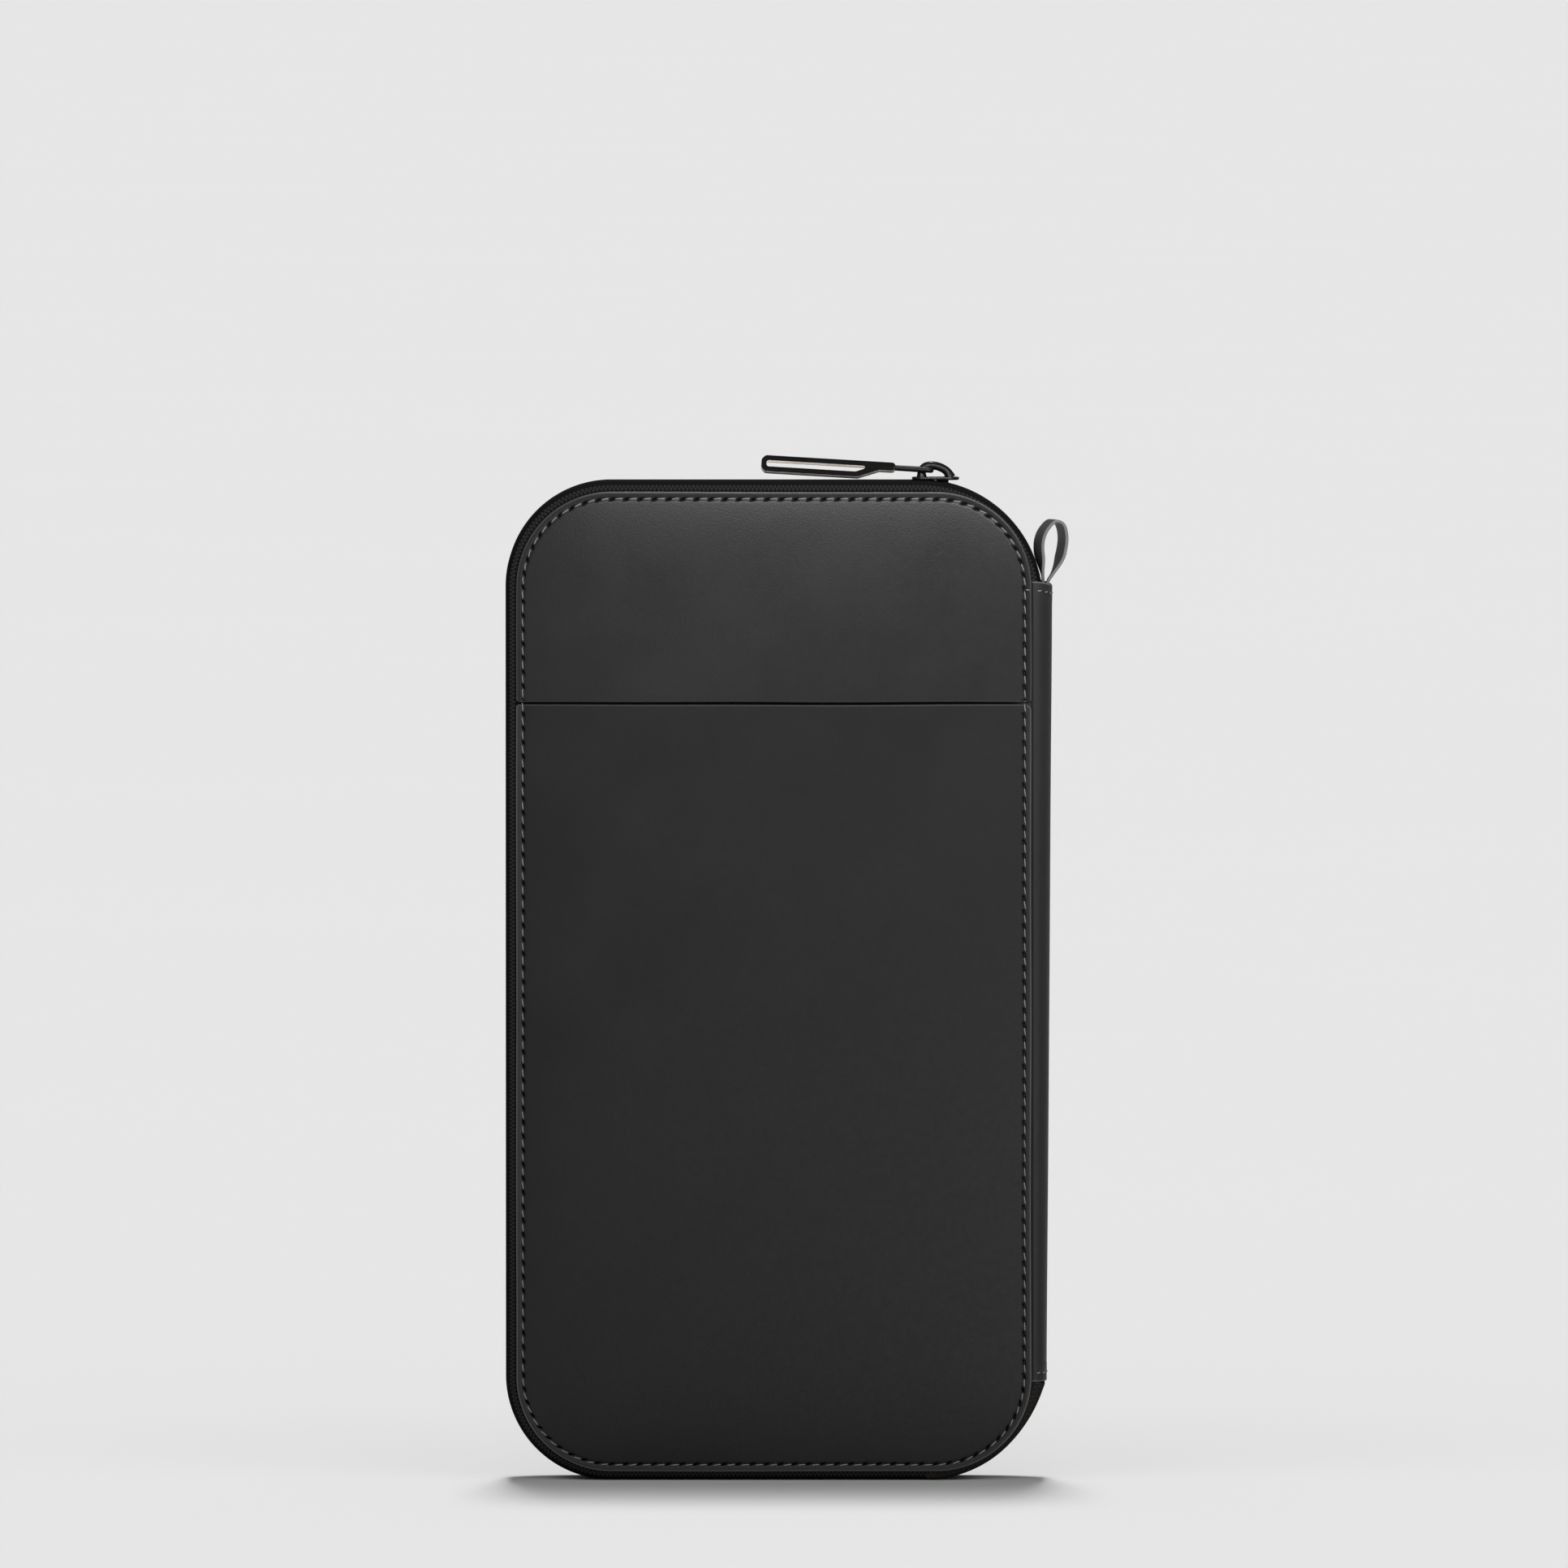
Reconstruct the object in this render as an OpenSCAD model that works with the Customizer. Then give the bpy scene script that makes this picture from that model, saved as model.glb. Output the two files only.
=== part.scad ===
// Zip-round travel document organizer: two stiff leather covers joined by a leather
// spine, closed on three sides by a reversed coil zip.
// +Z is up, the front cover faces -Y and the spine is on +X. The organizer stands on
// its bottom edge at z = 0. Every front piece is drawn on the -Y side of the middle
// plane; a depth is a distance from that plane, and back pieces are mirrored.

/* [Covers] */
// Width of each leather cover
cover_w = 127; // [118:1:132]
// Height of each leather cover
cover_h = 241.2; // [225:0.2:250]
// Corner radius of the leather covers
corner_r = 23.5; // [20:0.5:24]
// Thickness of the closed organizer, face to face
closed_t = 20; // [18:0.5:26]
// Thickness of the cover leather
leather_t = 1.2; // [1:0.1:1.4]
// Height of the boarding pass pocket's mouth above the cover's bottom edge
pocket_mouth_h = 188.8; // [150:0.2:195]
// Width of the slit between the two front leather pieces
slit_w = 0.5; // [0.4:0.1:1]

/* [Spine] */
// How far the spine wraps past the covers' spine-side edge
spine_bulge = 4.8; // [4:0.1:6]
// Height of the spine's lower hem above the cover's bottom edge
spine_low = 22.4; // [21:0.1:26]
// Height of the spine's upper hem above the cover's bottom edge
spine_high = 218.9; // [200:0.1:219]

/* [Zip] */
// How far the zip band bulges past the leather edge
band_bulge = 2.3; // [2:0.1:2.6]
// Width of one coil, measured across the zip
coil_w = 2.3; // [1.8:0.1:2.6]
// Length of the slider
slider_len = 11.6; // [10:0.2:13]
// Width of the slider
slider_w = 8.6; // [7:0.2:10]

/* [Puller] */
// Length of the puller from the collar's end to its tip
puller_len = 32.4; // [24:0.2:36]
// Height of the puller's slotted body
puller_h = 4.1; // [3.6:0.1:5]
// Thickness of the puller
puller_t = 2.4; // [1.6:0.1:2.6]
// Rise of the puller towards its tip, as it lies on the zip
puller_tilt = 3.4; // [2.5:0.1:10]
// Roll of the puller about its own length: below zero its upper edge leans back
puller_roll = -16; // [-20:1:0]

/* [Pull loop] */
// Height of the leather loop above the spine's upper hem
loop_h = 16; // [12:0.5:20]
// Width of the strap that the loop is made of
loop_strap_w = 6.4; // [5:0.2:7]

/* [Hidden] */
$fn = 96;
cut = 0.01;

// The covers' outline
edge_x = 60.4;
left_x = edge_x - cover_w;
bottom_z = 1.9;
top_z = bottom_z + cover_h;
face_d = closed_t / 2;
under_d = face_d - leather_t;
mouth_z = bottom_z + pocket_mouth_h;

// Layers of a cover, as depths from the middle plane
tape_t = 0.5;
tape_d = under_d - tape_t;
board_t = 1.5;
board_d = under_d - 0.6 - board_t;
backing_t = 0.3;
lining_t = 0.5;
lining_d = board_d - lining_t;
seam_in = 5;
backing_in = 7.2;
board_in = 1.6;
lining_in = 1.2;

// Perimeter seam
stitch_in = 1.9;
thread_w = 0.6;
groove_w = 0.8;
groove_depth = 0.35;
thread_t = 0.3;
thread_sunk = 0.04;

// Inner pockets
inner_in = 7;
inner_seam = 3;
pocket_gap = 0.3;
pocket_t = 0.5;
sleeve_d = lining_d - pocket_gap - pocket_t;
passport_d = sleeve_d - pocket_gap - pocket_t;
sleeve_top = 176;
passport_top = 134;
card_rows = 4;
card_row_h = 22;
card_gap = 0.5;
ticket_top = 206;

// The zip band's path: the line that its seam allowance leaves the leather on
path_low_z = band_bulge;
spine_corner_top_r = 27.7;
spine_corner_low_r = 29.2;
path_edge_x = 60.7;
low_corner_x = 33.5;
top_corner_x = path_edge_x - spine_corner_top_r;
band_in = band_bulge - tape_t;
half_gap = 0.6;
tab_half_gap = 1.2;
coil_t = 1;
stop_t = 0.9;

// Spine
spine_top_z = bottom_z + spine_high;
spine_low_z = bottom_z + spine_low;
hinge_x = edge_x + 0.2;
hem_gap = 0.4;
spine_t = 1;
spine_x0 = hinge_x + 0.3;
spine_x1 = edge_x + spine_bulge;
spine_d = face_d - 1;
spine_r = spine_x1 - spine_x0;
spine_lining_t = 0.4;
margin_w = seam_in - 0.1;
margin_t = 0.6;
hem_in = 1.9;

// Zip hardware
stop_len = 1.6;
tape_top_z = top_z + band_bulge;
plate_t = 0.8;
plate_gap = 0.25;
low_plate_gap = 0.3;
slider_x0 = 30.8;
slider_x1 = slider_x0 + slider_len;
low_plate_cut = 2.1;
post_clear = 0.3;
top_plate_z = tape_top_z + plate_gap;
low_plate_z = top_z + band_in - coil_t - low_plate_gap - plate_t;
post_x = slider_x0 + 6;
post_len = 3;
bridge_w = 1.6;
bridge_wall = 1.1;
bridge_r = 5.6;
bridge_x = slider_x0 + 4.6;
bridge_left = slider_x0 + 2.1;
bridge_drop = 1.85;
bridge_z = top_plate_z + plate_t - bridge_drop;

// Link and puller, in their own frame: the link's cross bar is at the origin and the
// puller lies along -x
wire_r = 0.6;
link_x = slider_x0 + 4.7;
link_rise = 1.45;
link_z = top_plate_z + plate_t + link_rise;
link_half = 2.1;
link_len = 9.4;
link_join = 0.55;
collar_x = -8.8;
collar_len = 3.9;
collar_h = 2.1;
neck_len = 5.2;
tip_x = collar_x - puller_len;
rim = 1;
nose = 1.7;
body_x = collar_x - collar_len - neck_len;
slot_reach = 1.6;
slot_slant = 2.2;

// Pull loop
loop_t = 0.7;
loop_x = 63.4;
loop_tail = 8;
loop_tail_gap = 0.8;
loop_foot_sunk = 0.3;
loop_foot_share = 0.6;
loop_eye_r = 3.1;
loop_lean = 1.8;

// ---- shared helpers ----

// A rounded rectangle in x and z between two corners
module rounded(x0, z0, x1, z1, r) {
    translate([x0 + r, z0]) square([x1 - x0 - 2 * r, z1 - z0]);
    translate([x0, z0 + r]) square([x1 - x0, z1 - z0 - 2 * r]);
    for (x = [x0 + r, x1 - r], z = [z0 + r, z1 - r]) {
        translate([x, z]) circle(r);
    }
}

// The cover's outline, drawn in by a margin
module cover_outline(inset) {
    rounded(left_x + inset, bottom_z + inset, edge_x - inset, top_z - inset, corner_r - inset);
}

// A flat layer between two depths of the front half
module layer(near, far) {
    translate([0, -near, 0]) rotate([90, 0, 0]) linear_extrude(far - near) children();
}

// What lies between two heights
module between(z0, z1) {
    intersection() {
        children();
        translate([left_x - 10, -closed_t, z0]) cube([cover_w + 30, 2 * closed_t, z1 - z0]);
    }
}

module to_back() {
    mirror([0, 1, 0]) children();
}

// A profile (outward, depth) swept round a bend of the band's path
module bend(x, z, r, from, turn) {
    translate([x, 0, z]) rotate([90, 0, 0]) rotate([0, 0, from])
        rotate_extrude(angle = turn) translate([r, 0]) children();
}

// The same profile swept along a straight run that faces outward at an angle
module run(x, z, facing, length) {
    translate([x, 0, z]) rotate([90, 0, 0]) rotate([0, 0, facing])
        rotate([90, 0, 0]) linear_extrude(length) children();
}

// The chain's route: top run, left side and bottom run, with two round corners
module chain_route() {
    low_len = low_corner_x - left_x - corner_r;
    run(left_x + corner_r, top_z, 90, top_corner_x - left_x - corner_r) children();
    bend(left_x + corner_r, top_z - corner_r, corner_r, 90, 90) children();
    run(left_x, path_low_z + corner_r, 180, top_z - path_low_z - 2 * corner_r) children();
    bend(left_x + corner_r, path_low_z + corner_r, corner_r, 180, 90) children();
    run(low_corner_x, path_low_z, 270, low_len) children();
}

// The band's section: a seam allowance under the leather that turns out and over
module band_section(inner_d) {
    turn_d = under_d - band_bulge;
    translate([-seam_in, tape_d]) square([seam_in, tape_t]);
    translate([0, turn_d]) intersection() {
        difference() {
            circle(band_bulge);
            circle(band_in);
        }
        square(band_bulge);
    }
    translate([band_in, inner_d]) square([tape_t, turn_d - inner_d]);
}

// ---- front cover ----

module seam_groove() {
    layer(face_d - groove_depth, face_d + cut) difference() {
        cover_outline(stitch_in - groove_w / 2);
        cover_outline(stitch_in + groove_w / 2);
    }
}

module cover_leather() {
    difference() {
        layer(under_d, face_d) cover_outline(0);
        seam_groove();
    }
}

module front_upper_leather() {
    color("dimgray") between(mouth_z + slit_w, top_z + 1) cover_leather();
}

module front_pocket_leather() {
    color([0.2, 0.2, 0.2]) between(0, mouth_z) cover_leather();
}

// The fabric that the boarding pass pocket's passes slide against
module front_pocket_backing() {
    color([0.1, 0.1, 0.1]) layer(board_d + board_t, board_d + board_t + backing_t)
        cover_outline(backing_in);
}

module cover_board() {
    color("tan") layer(board_d, board_d + board_t) cover_outline(board_in);
}

module front_board() {
    cover_board();
}

module cover_lining() {
    color([0.15, 0.15, 0.16]) layer(lining_d, lining_d + lining_t) cover_outline(lining_in);
}

module front_lining() {
    cover_lining();
}

// The thread lies in the seam's groove, just under the leather's face
module cover_thread() {
    thread_far = face_d - thread_sunk;
    color("silver") layer(thread_far - thread_t, thread_far) difference() {
        cover_outline(stitch_in - thread_w / 2);
        cover_outline(stitch_in + thread_w / 2);
    }
}

module front_seam_thread() {
    cover_thread();
}

// The spine leather's skived edge, sewn under the cover
module spine_margin() {
    color([0.22, 0.22, 0.22]) layer(under_d - margin_t, under_d)
        translate([edge_x - margin_w - 0.1, spine_low_z])
            square([margin_w, spine_top_z - spine_low_z]);
}

module front_spine_margin() {
    spine_margin();
}

module zip_tape() {
    color([0.12, 0.12, 0.12]) {
        chain_route() band_section(half_gap);
        difference() {
            bend(top_corner_x, top_z - spine_corner_top_r, spine_corner_top_r, 0, 90)
                band_section(half_gap);
            translate([top_corner_x, -closed_t, top_z - spine_corner_top_r - 1])
                cube([cover_w, closed_t, spine_top_z + hem_gap - top_z + spine_corner_top_r + 1]);
        }
    }
}

module front_zip_tape() {
    zip_tape();
}

// Woven tab that carries the zip's lower end up to the spine
module corner_tab() {
    color([0.25, 0.22, 0.18]) difference() {
        bend(low_corner_x, path_low_z + spine_corner_low_r, spine_corner_low_r, 270, 90)
            band_section(tab_half_gap);
        translate([low_corner_x, -closed_t, spine_low_z - hem_gap])
            cube([cover_w, closed_t, spine_corner_low_r]);
    }
}

module front_corner_tab() {
    corner_tab();
}

module zip_coil() {
    color("black") chain_route()
        translate([band_in - coil_t, half_gap]) square([coil_t, coil_w]);
}

module front_zip_coil() {
    zip_coil();
}

// End stops clamped on the tape's edge at both ends of the chain
module zip_stops() {
    color([0.3, 0.3, 0.3]) {
        translate([top_corner_x, -half_gap - coil_w, top_z + band_in - coil_t])
            cube([stop_len, coil_w, stop_t]);
        translate([low_corner_x, -tab_half_gap - coil_w, path_low_z - band_in + coil_t - stop_t])
            cube([stop_len, coil_w, stop_t]);
    }
}

module front_zip_stops() {
    zip_stops();
}

// ---- pockets inside the covers ----

// A flat pocket: a sheet held off what it is sewn to by a seam on three sides
module flat_pocket(sheet_d, x0, x1, z0, z1) {
    layer(sheet_d, sheet_d + pocket_t) translate([x0, z0]) square([x1 - x0, z1 - z0]);
    layer(sheet_d + pocket_t, sheet_d + pocket_t + pocket_gap) difference() {
        translate([x0, z0]) square([x1 - x0, z1 - z0]);
        translate([x0 + inner_seam, z0 + inner_seam])
            square([x1 - x0 - 2 * inner_seam, z1 - z0]);
    }
}

module ticket_pocket() {
    color([0.24, 0.24, 0.25])
        flat_pocket(sleeve_d, left_x + inner_in, edge_x - inner_in, bottom_z + inner_in, ticket_top);
}

// Card slots: rows of leather sewn at their lower edge and sides
module card_slots() {
    color([0.2, 0.2, 0.2]) for (row = [0 : card_rows - 1]) {
        row_z = bottom_z + inner_in + row * card_row_h;
        flat_pocket(passport_d, left_x + inner_in, edge_x - inner_in,
            row_z, row_z + card_row_h - card_gap);
    }
}

module document_sleeve() {
    color([0.24, 0.24, 0.25]) to_back()
        flat_pocket(sleeve_d, left_x + inner_in, edge_x - inner_in, bottom_z + inner_in, sleeve_top);
}

module passport_pocket() {
    color([0.2, 0.2, 0.2]) to_back()
        flat_pocket(passport_d, left_x + inner_in, edge_x - inner_in, bottom_z + inner_in,
            passport_top);
}

// ---- back cover ----

module back_leather() {
    color([0.2, 0.2, 0.2]) to_back() cover_leather();
}

module back_board() {
    to_back() cover_board();
}

module back_lining() {
    to_back() cover_lining();
}

module back_seam_thread() {
    to_back() cover_thread();
}

module back_spine_margin() {
    to_back() spine_margin();
}

module back_zip_tape() {
    to_back() zip_tape();
}

module back_corner_tab() {
    to_back() corner_tab();
}

module back_zip_coil() {
    to_back() zip_coil();
}

module back_zip_stops() {
    to_back() zip_stops();
}

// ---- spine ----

// A channel section in x and y, open towards the covers, whose outer face is inset
module channel(inset, wall) {
    r = spine_r - inset;
    half = spine_d - inset;
    module solid_section(r, half, x0) {
        for (s = [-1, 1]) {
            translate([spine_x0, s * (half - r)]) circle(r);
        }
        translate([x0, -(half - r)]) square([spine_x0 - x0 + r, 2 * (half - r)]);
    }
    intersection() {
        difference() {
            solid_section(r, half, spine_x0 - 1);
            solid_section(r - wall, half - wall, spine_x0 - 2);
        }
        translate([spine_x0, -closed_t]) square([closed_t, 2 * closed_t]);
    }
}

module spine_leather() {
    color([0.22, 0.22, 0.22]) translate([0, 0, spine_low_z])
        linear_extrude(spine_top_z - spine_low_z) channel(0, spine_t);
}

// The lining stops short of the loop's sewn tail
module spine_lining() {
    color([0.15, 0.15, 0.16]) translate([0, 0, spine_low_z + 1])
        linear_extrude(spine_top_z - spine_low_z - loop_tail - 2) channel(spine_t, spine_lining_t);
}

// Hem threads across the spine's outer face at both ends
module spine_hem_threads() {
    half = spine_d - spine_r;
    color("silver") for (z = [spine_low_z + hem_in, spine_top_z - hem_in]) {
        translate([spine_x1, -half, z - thread_w / 2]) cube([0.2, 2 * half, thread_w]);
    }
}

// A teardrop loop of leather strap whose two ends are sewn together inside the spine
module loop_outline(grow) {
    eye_r = loop_eye_r + grow;
    eye_z = spine_top_z + loop_h - loop_eye_r - loop_t;
    eye_x = loop_x + loop_lean;
    foot_z = spine_top_z - loop_foot_sunk;
    foot_half = 0.05 + grow * loop_foot_share;
    translate([eye_x, eye_z]) circle(eye_r);
    polygon([
        [eye_x - eye_r, eye_z],
        [loop_x - foot_half, foot_z - grow],
        [loop_x + foot_half, foot_z - grow],
        [eye_x + eye_r, eye_z]
    ]);
}

module pull_loop() {
    tail_t = 1.2;
    tail_x = spine_x1 - spine_t - tail_t;
    color([0.3, 0.3, 0.3]) {
        translate([0, loop_strap_w / 2, 0]) rotate([90, 0, 0]) linear_extrude(loop_strap_w)
            difference() {
                loop_outline(loop_t);
                loop_outline(0);
            }
        translate([tail_x, -loop_strap_w / 2, spine_top_z - loop_tail])
            cube([tail_t, loop_strap_w, loop_tail - loop_tail_gap]);
    }
}

// ---- zip slider and puller ----

module slider_plate(x0, x1, z) {
    nose_r = 2.6;
    translate([0, 0, z]) linear_extrude(plate_t) {
        translate([x0 + nose_r, -slider_w / 2]) square([x1 - x0 - 2 * nose_r, slider_w]);
        translate([x0, nose_r - slider_w / 2]) square([x1 - x0, slider_w - 2 * nose_r]);
        for (x = [x0 + nose_r, x1 - nose_r], s = [-1, 1]) {
            translate([x, s * (slider_w / 2 - nose_r)]) circle(nose_r);
        }
    }
}

// An outer plate, an inner plate and the narrow post that parts the two coils
module slider_body() {
    post_half = half_gap - post_clear;
    color([0.08, 0.08, 0.08]) {
        slider_plate(slider_x0, slider_x1, top_plate_z);
        slider_plate(slider_x0, slider_x1 - low_plate_cut, low_plate_z);
        translate([post_x, -post_half, low_plate_z])
            cube([post_len, 2 * post_half, top_plate_z - low_plate_z + plate_t]);
    }
}

// The bridge over the outer plate, whose eye holds the link
module slider_bridge() {
    foot_z = top_plate_z + plate_t;
    color([0.08, 0.08, 0.08]) translate([0, bridge_w / 2, 0]) rotate([90, 0, 0])
        linear_extrude(bridge_w) difference() {
            intersection() {
                translate([bridge_x, bridge_z]) circle(bridge_r);
                translate([bridge_left, foot_z]) square(2 * bridge_r);
            }
            intersection() {
                translate([bridge_x, bridge_z]) circle(bridge_r - bridge_wall);
                translate([bridge_left + bridge_wall, foot_z - 1]) square(2 * bridge_r);
            }
        }
}

module puller_frame_of_reference() {
    translate([link_x, 0, link_z]) rotate([0, puller_tilt, 0]) children();
}

// A round wire between two points of one plane
module wire(x0, y0, x1, y1) {
    length = norm([x1 - x0, y1 - y0]);
    translate([x0, y0, 0]) rotate([0, 0, atan2(y1 - y0, x1 - x0)]) rotate([0, 90, 0])
        cylinder(r = wire_r, h = length);
}

module puller_link() {
    knuckle_r = wire_r + 0.08;
    color([0.35, 0.33, 0.3]) puller_frame_of_reference() {
        wire(0, -link_half, 0, link_half);
        for (s = [-1, 1]) {
            translate([0, s * link_half, 0]) sphere(knuckle_r);
            wire(0, s * link_half, -link_len, s * link_join);
        }
    }
}

module puller_outline() {
    top = collar_h / 2;
    low = top - puller_h;
    polygon([
        [collar_x, top],
        [collar_x, -top],
        [collar_x - collar_len, -top],
        [body_x, low],
        [tip_x + nose, low],
        [tip_x, low + nose],
        [tip_x, top - nose],
        [tip_x + nose, top]
    ]);
}

// The slot through the puller, with one end cut on the slant
module puller_slot() {
    top = collar_h / 2 - rim;
    low = top - puller_h + 2 * rim;
    polygon([
        [tip_x + rim + nose / 2, top],
        [body_x + slot_reach, top],
        [body_x + slot_reach, (top + low) / 2],
        [body_x + slot_reach - slot_slant, low],
        [tip_x + rim + nose / 2, low],
        [tip_x + rim, low + nose / 2],
        [tip_x + rim, top - nose / 2]
    ]);
}

// The link's two ends are cast into the collar
module puller_frame() {
    color([0.1, 0.1, 0.1]) puller_frame_of_reference() difference() {
        rotate([puller_roll, 0, 0]) translate([0, puller_t / 2, 0]) rotate([90, 0, 0])
            linear_extrude(puller_t) difference() {
                puller_outline();
                puller_slot();
            }
        for (s = [-1, 1]) {
            wire(0, s * link_half, -link_len, s * link_join);
        }
    }
}

front_upper_leather();
front_pocket_leather();
front_pocket_backing();
front_board();
front_lining();
front_seam_thread();
front_spine_margin();
front_zip_tape();
front_corner_tab();
front_zip_coil();
front_zip_stops();
card_slots();
ticket_pocket();
back_leather();
back_board();
back_lining();
back_seam_thread();
back_spine_margin();
back_zip_tape();
back_corner_tab();
back_zip_coil();
back_zip_stops();
document_sleeve();
passport_pocket();
spine_leather();
spine_lining();
spine_hem_threads();
pull_loop();
slider_body();
slider_bridge();
puller_link();
puller_frame();
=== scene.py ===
"""Zip-round travel document organizer: its looks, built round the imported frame.

Shapes are worked out in millimetres in the CAD frame and made in metres. A depth is a
distance from the middle plane between the covers; side -1 is the front and +1 the back.
"""

import itertools
import math
import random

import bpy
import bmesh
import numpy as np
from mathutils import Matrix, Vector


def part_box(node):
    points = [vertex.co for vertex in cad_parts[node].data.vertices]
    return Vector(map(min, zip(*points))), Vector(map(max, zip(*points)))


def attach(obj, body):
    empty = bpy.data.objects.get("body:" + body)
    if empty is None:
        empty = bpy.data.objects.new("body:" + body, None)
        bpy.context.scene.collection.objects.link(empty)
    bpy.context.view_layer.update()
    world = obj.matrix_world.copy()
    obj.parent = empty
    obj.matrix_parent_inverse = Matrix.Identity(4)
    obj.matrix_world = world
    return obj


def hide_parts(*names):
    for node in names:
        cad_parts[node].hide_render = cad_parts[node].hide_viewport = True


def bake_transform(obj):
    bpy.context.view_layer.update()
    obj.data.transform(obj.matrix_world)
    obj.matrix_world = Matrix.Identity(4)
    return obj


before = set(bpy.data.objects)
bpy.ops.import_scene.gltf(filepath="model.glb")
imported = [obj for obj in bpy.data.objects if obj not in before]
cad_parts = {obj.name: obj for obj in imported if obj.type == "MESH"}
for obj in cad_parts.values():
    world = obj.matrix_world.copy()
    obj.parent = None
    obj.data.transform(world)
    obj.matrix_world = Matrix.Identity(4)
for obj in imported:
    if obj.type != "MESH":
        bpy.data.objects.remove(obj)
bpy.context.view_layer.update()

MM = 0.001


# ---- sizes, read from the CAD nodes ----

def node_box(node):
    """A node's lowest and highest corners, in millimetres."""
    low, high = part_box(node)
    return np.array(low) / MM, np.array(high) / MM


pocket_low, pocket_high = node_box("front_pocket_leather")
upper_low, upper_high = node_box("front_upper_leather")
spine_low, spine_high = node_box("spine_leather")
slider_low, slider_high = node_box("slider_body")
bridge_low, bridge_high = node_box("slider_bridge")
_, tape_high = node_box("front_zip_tape")

LEFT, RIGHT = pocket_low[0], pocket_high[0]
BOTTOM, TOP = pocket_low[2], upper_high[2]
MOUTH_LOW, MOUTH_HIGH = pocket_high[2], upper_low[2]
FACE = -pocket_low[1]
UNDER = -pocket_high[1]
CORNER = 23.5
BULGE = tape_high[2] - TOP
TRIM = 0.3
STITCH_IN = 1.9 - TRIM
STITCH_PITCH = 3.45
COVER = (LEFT + TRIM, BOTTOM + TRIM, RIGHT - TRIM, TOP - TRIM)
COVER_R = CORNER - TRIM
COVER_RADII = (COVER_R,) * 4


# ---- numbers and curves ----

def smooth(t):
    t = np.clip(t, 0, 1)
    return t * t * (3 - 2 * t)


def bell(x, width):
    return np.exp(-(np.asarray(x) / width) ** 2)


def ripple(x, z, seed, size):
    """A soft undulation, near -1 to 1, whose waves are about size long."""
    rng = random.Random(seed)
    total = np.zeros(np.broadcast(x, z).shape)
    for _ in range(7):
        angle = rng.uniform(0, math.pi)
        wave = 2 * math.pi / (size * rng.uniform(0.6, 1.6))
        phase = rng.uniform(0, 2 * math.pi)
        total = total + np.sin(wave * (x * math.cos(angle) + z * math.sin(angle)) + phase)
    return total / 5


def edge_distance(x, z):
    """How far a point is inside the covers' rounded outline."""
    x0, z0, x1, z1 = COVER
    qx = np.abs(x - (x0 + x1) / 2) - ((x1 - x0) / 2 - COVER_R)
    qz = np.abs(z - (z0 + z1) / 2) - ((z1 - z0) / 2 - COVER_R)
    outside = np.hypot(np.maximum(qx, 0), np.maximum(qz, 0))
    return COVER_R - outside - np.minimum(np.maximum(qx, qz), 0)


def outline(rect, radii, inset, counts):
    """Points round a rounded rectangle (x0, z0, x1, z1), anticlockwise from its lower right.
    radii are those of its lower right, upper right, upper left and lower left corners."""
    x0, z0, x1, z1 = rect
    n_wide, n_tall, n_arc = counts
    corners = [(x1, z0, -1, 1), (x1, z1, -1, -1), (x0, z1, 1, -1), (x0, z0, 1, 1)]
    arcs = []
    for k, (x, z, sx, sz) in enumerate(corners):
        r = max(radii[k] - inset, 0.01)
        centre = np.array([x + sx * (inset + r), z + sz * (inset + r)])
        a = np.radians(np.linspace(-90 + 90 * k, 90 * k, n_arc + 1))
        arcs.append(centre + r * np.stack([np.cos(a), np.sin(a)], 1))
    points = []
    for k in range(4):
        start, stop = arcs[k][-1], arcs[(k + 1) % 4][0]
        t = np.linspace(0, 1, n_wide if k % 2 else n_tall, endpoint=False)[:, None]
        points += [arcs[k][:-1], start + (stop - start) * t]
    return np.concatenate(points)


# ---- mesh making ----

def make_object(name, verts, faces, materials, body=None, tags=None, weld=0.0, pick=None):
    """A mesh object from millimetre points. tags are named point attributes, and pick gives
    each face's material."""
    mesh = bpy.data.meshes.new(name)
    mesh.from_pydata((np.asarray(verts, float) * MM).tolist(), [], faces)
    for label, values in (tags or {}).items():
        layer = mesh.attributes.new(label, "FLOAT", "POINT")
        layer.data.foreach_set("value", np.asarray(values, np.float32))
    obj = bpy.data.objects.new(name, mesh)
    bpy.context.scene.collection.objects.link(obj)
    for material in materials:
        mesh.materials.append(material)
    if pick is not None:
        mesh.polygons.foreach_set("material_index", np.asarray(pick, np.int32))
    bm = bmesh.new()
    bm.from_mesh(mesh)
    if weld:
        bmesh.ops.remove_doubles(bm, verts=bm.verts, dist=weld * MM)
    bmesh.ops.recalc_face_normals(bm, faces=bm.faces)
    bm.to_mesh(mesh)
    bm.free()
    mesh.polygons.foreach_set("use_smooth", [True] * len(mesh.polygons))
    if body:
        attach(obj, body)
    return obj


def stack_faces(sizes):
    """Faces between rings of points. A ring holds as many points as the last, or a quarter."""
    faces = []
    start = 0
    for a, b in zip(sizes, sizes[1:]):
        after = start + a
        ratio = a // b
        for i in range(b):
            outer = [start + (i * ratio + k) % a for k in range(ratio + 1)]
            faces.append((*outer, after + (i + 1) % b, after + i))
        start = after
    return faces


def swept_faces(size, rings):
    """Faces round equal rings of points, closed at both ends."""
    last = (rings - 1) * size
    return stack_faces([size] * rings) + [tuple(range(size)), tuple(range(last, last + size))]


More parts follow.
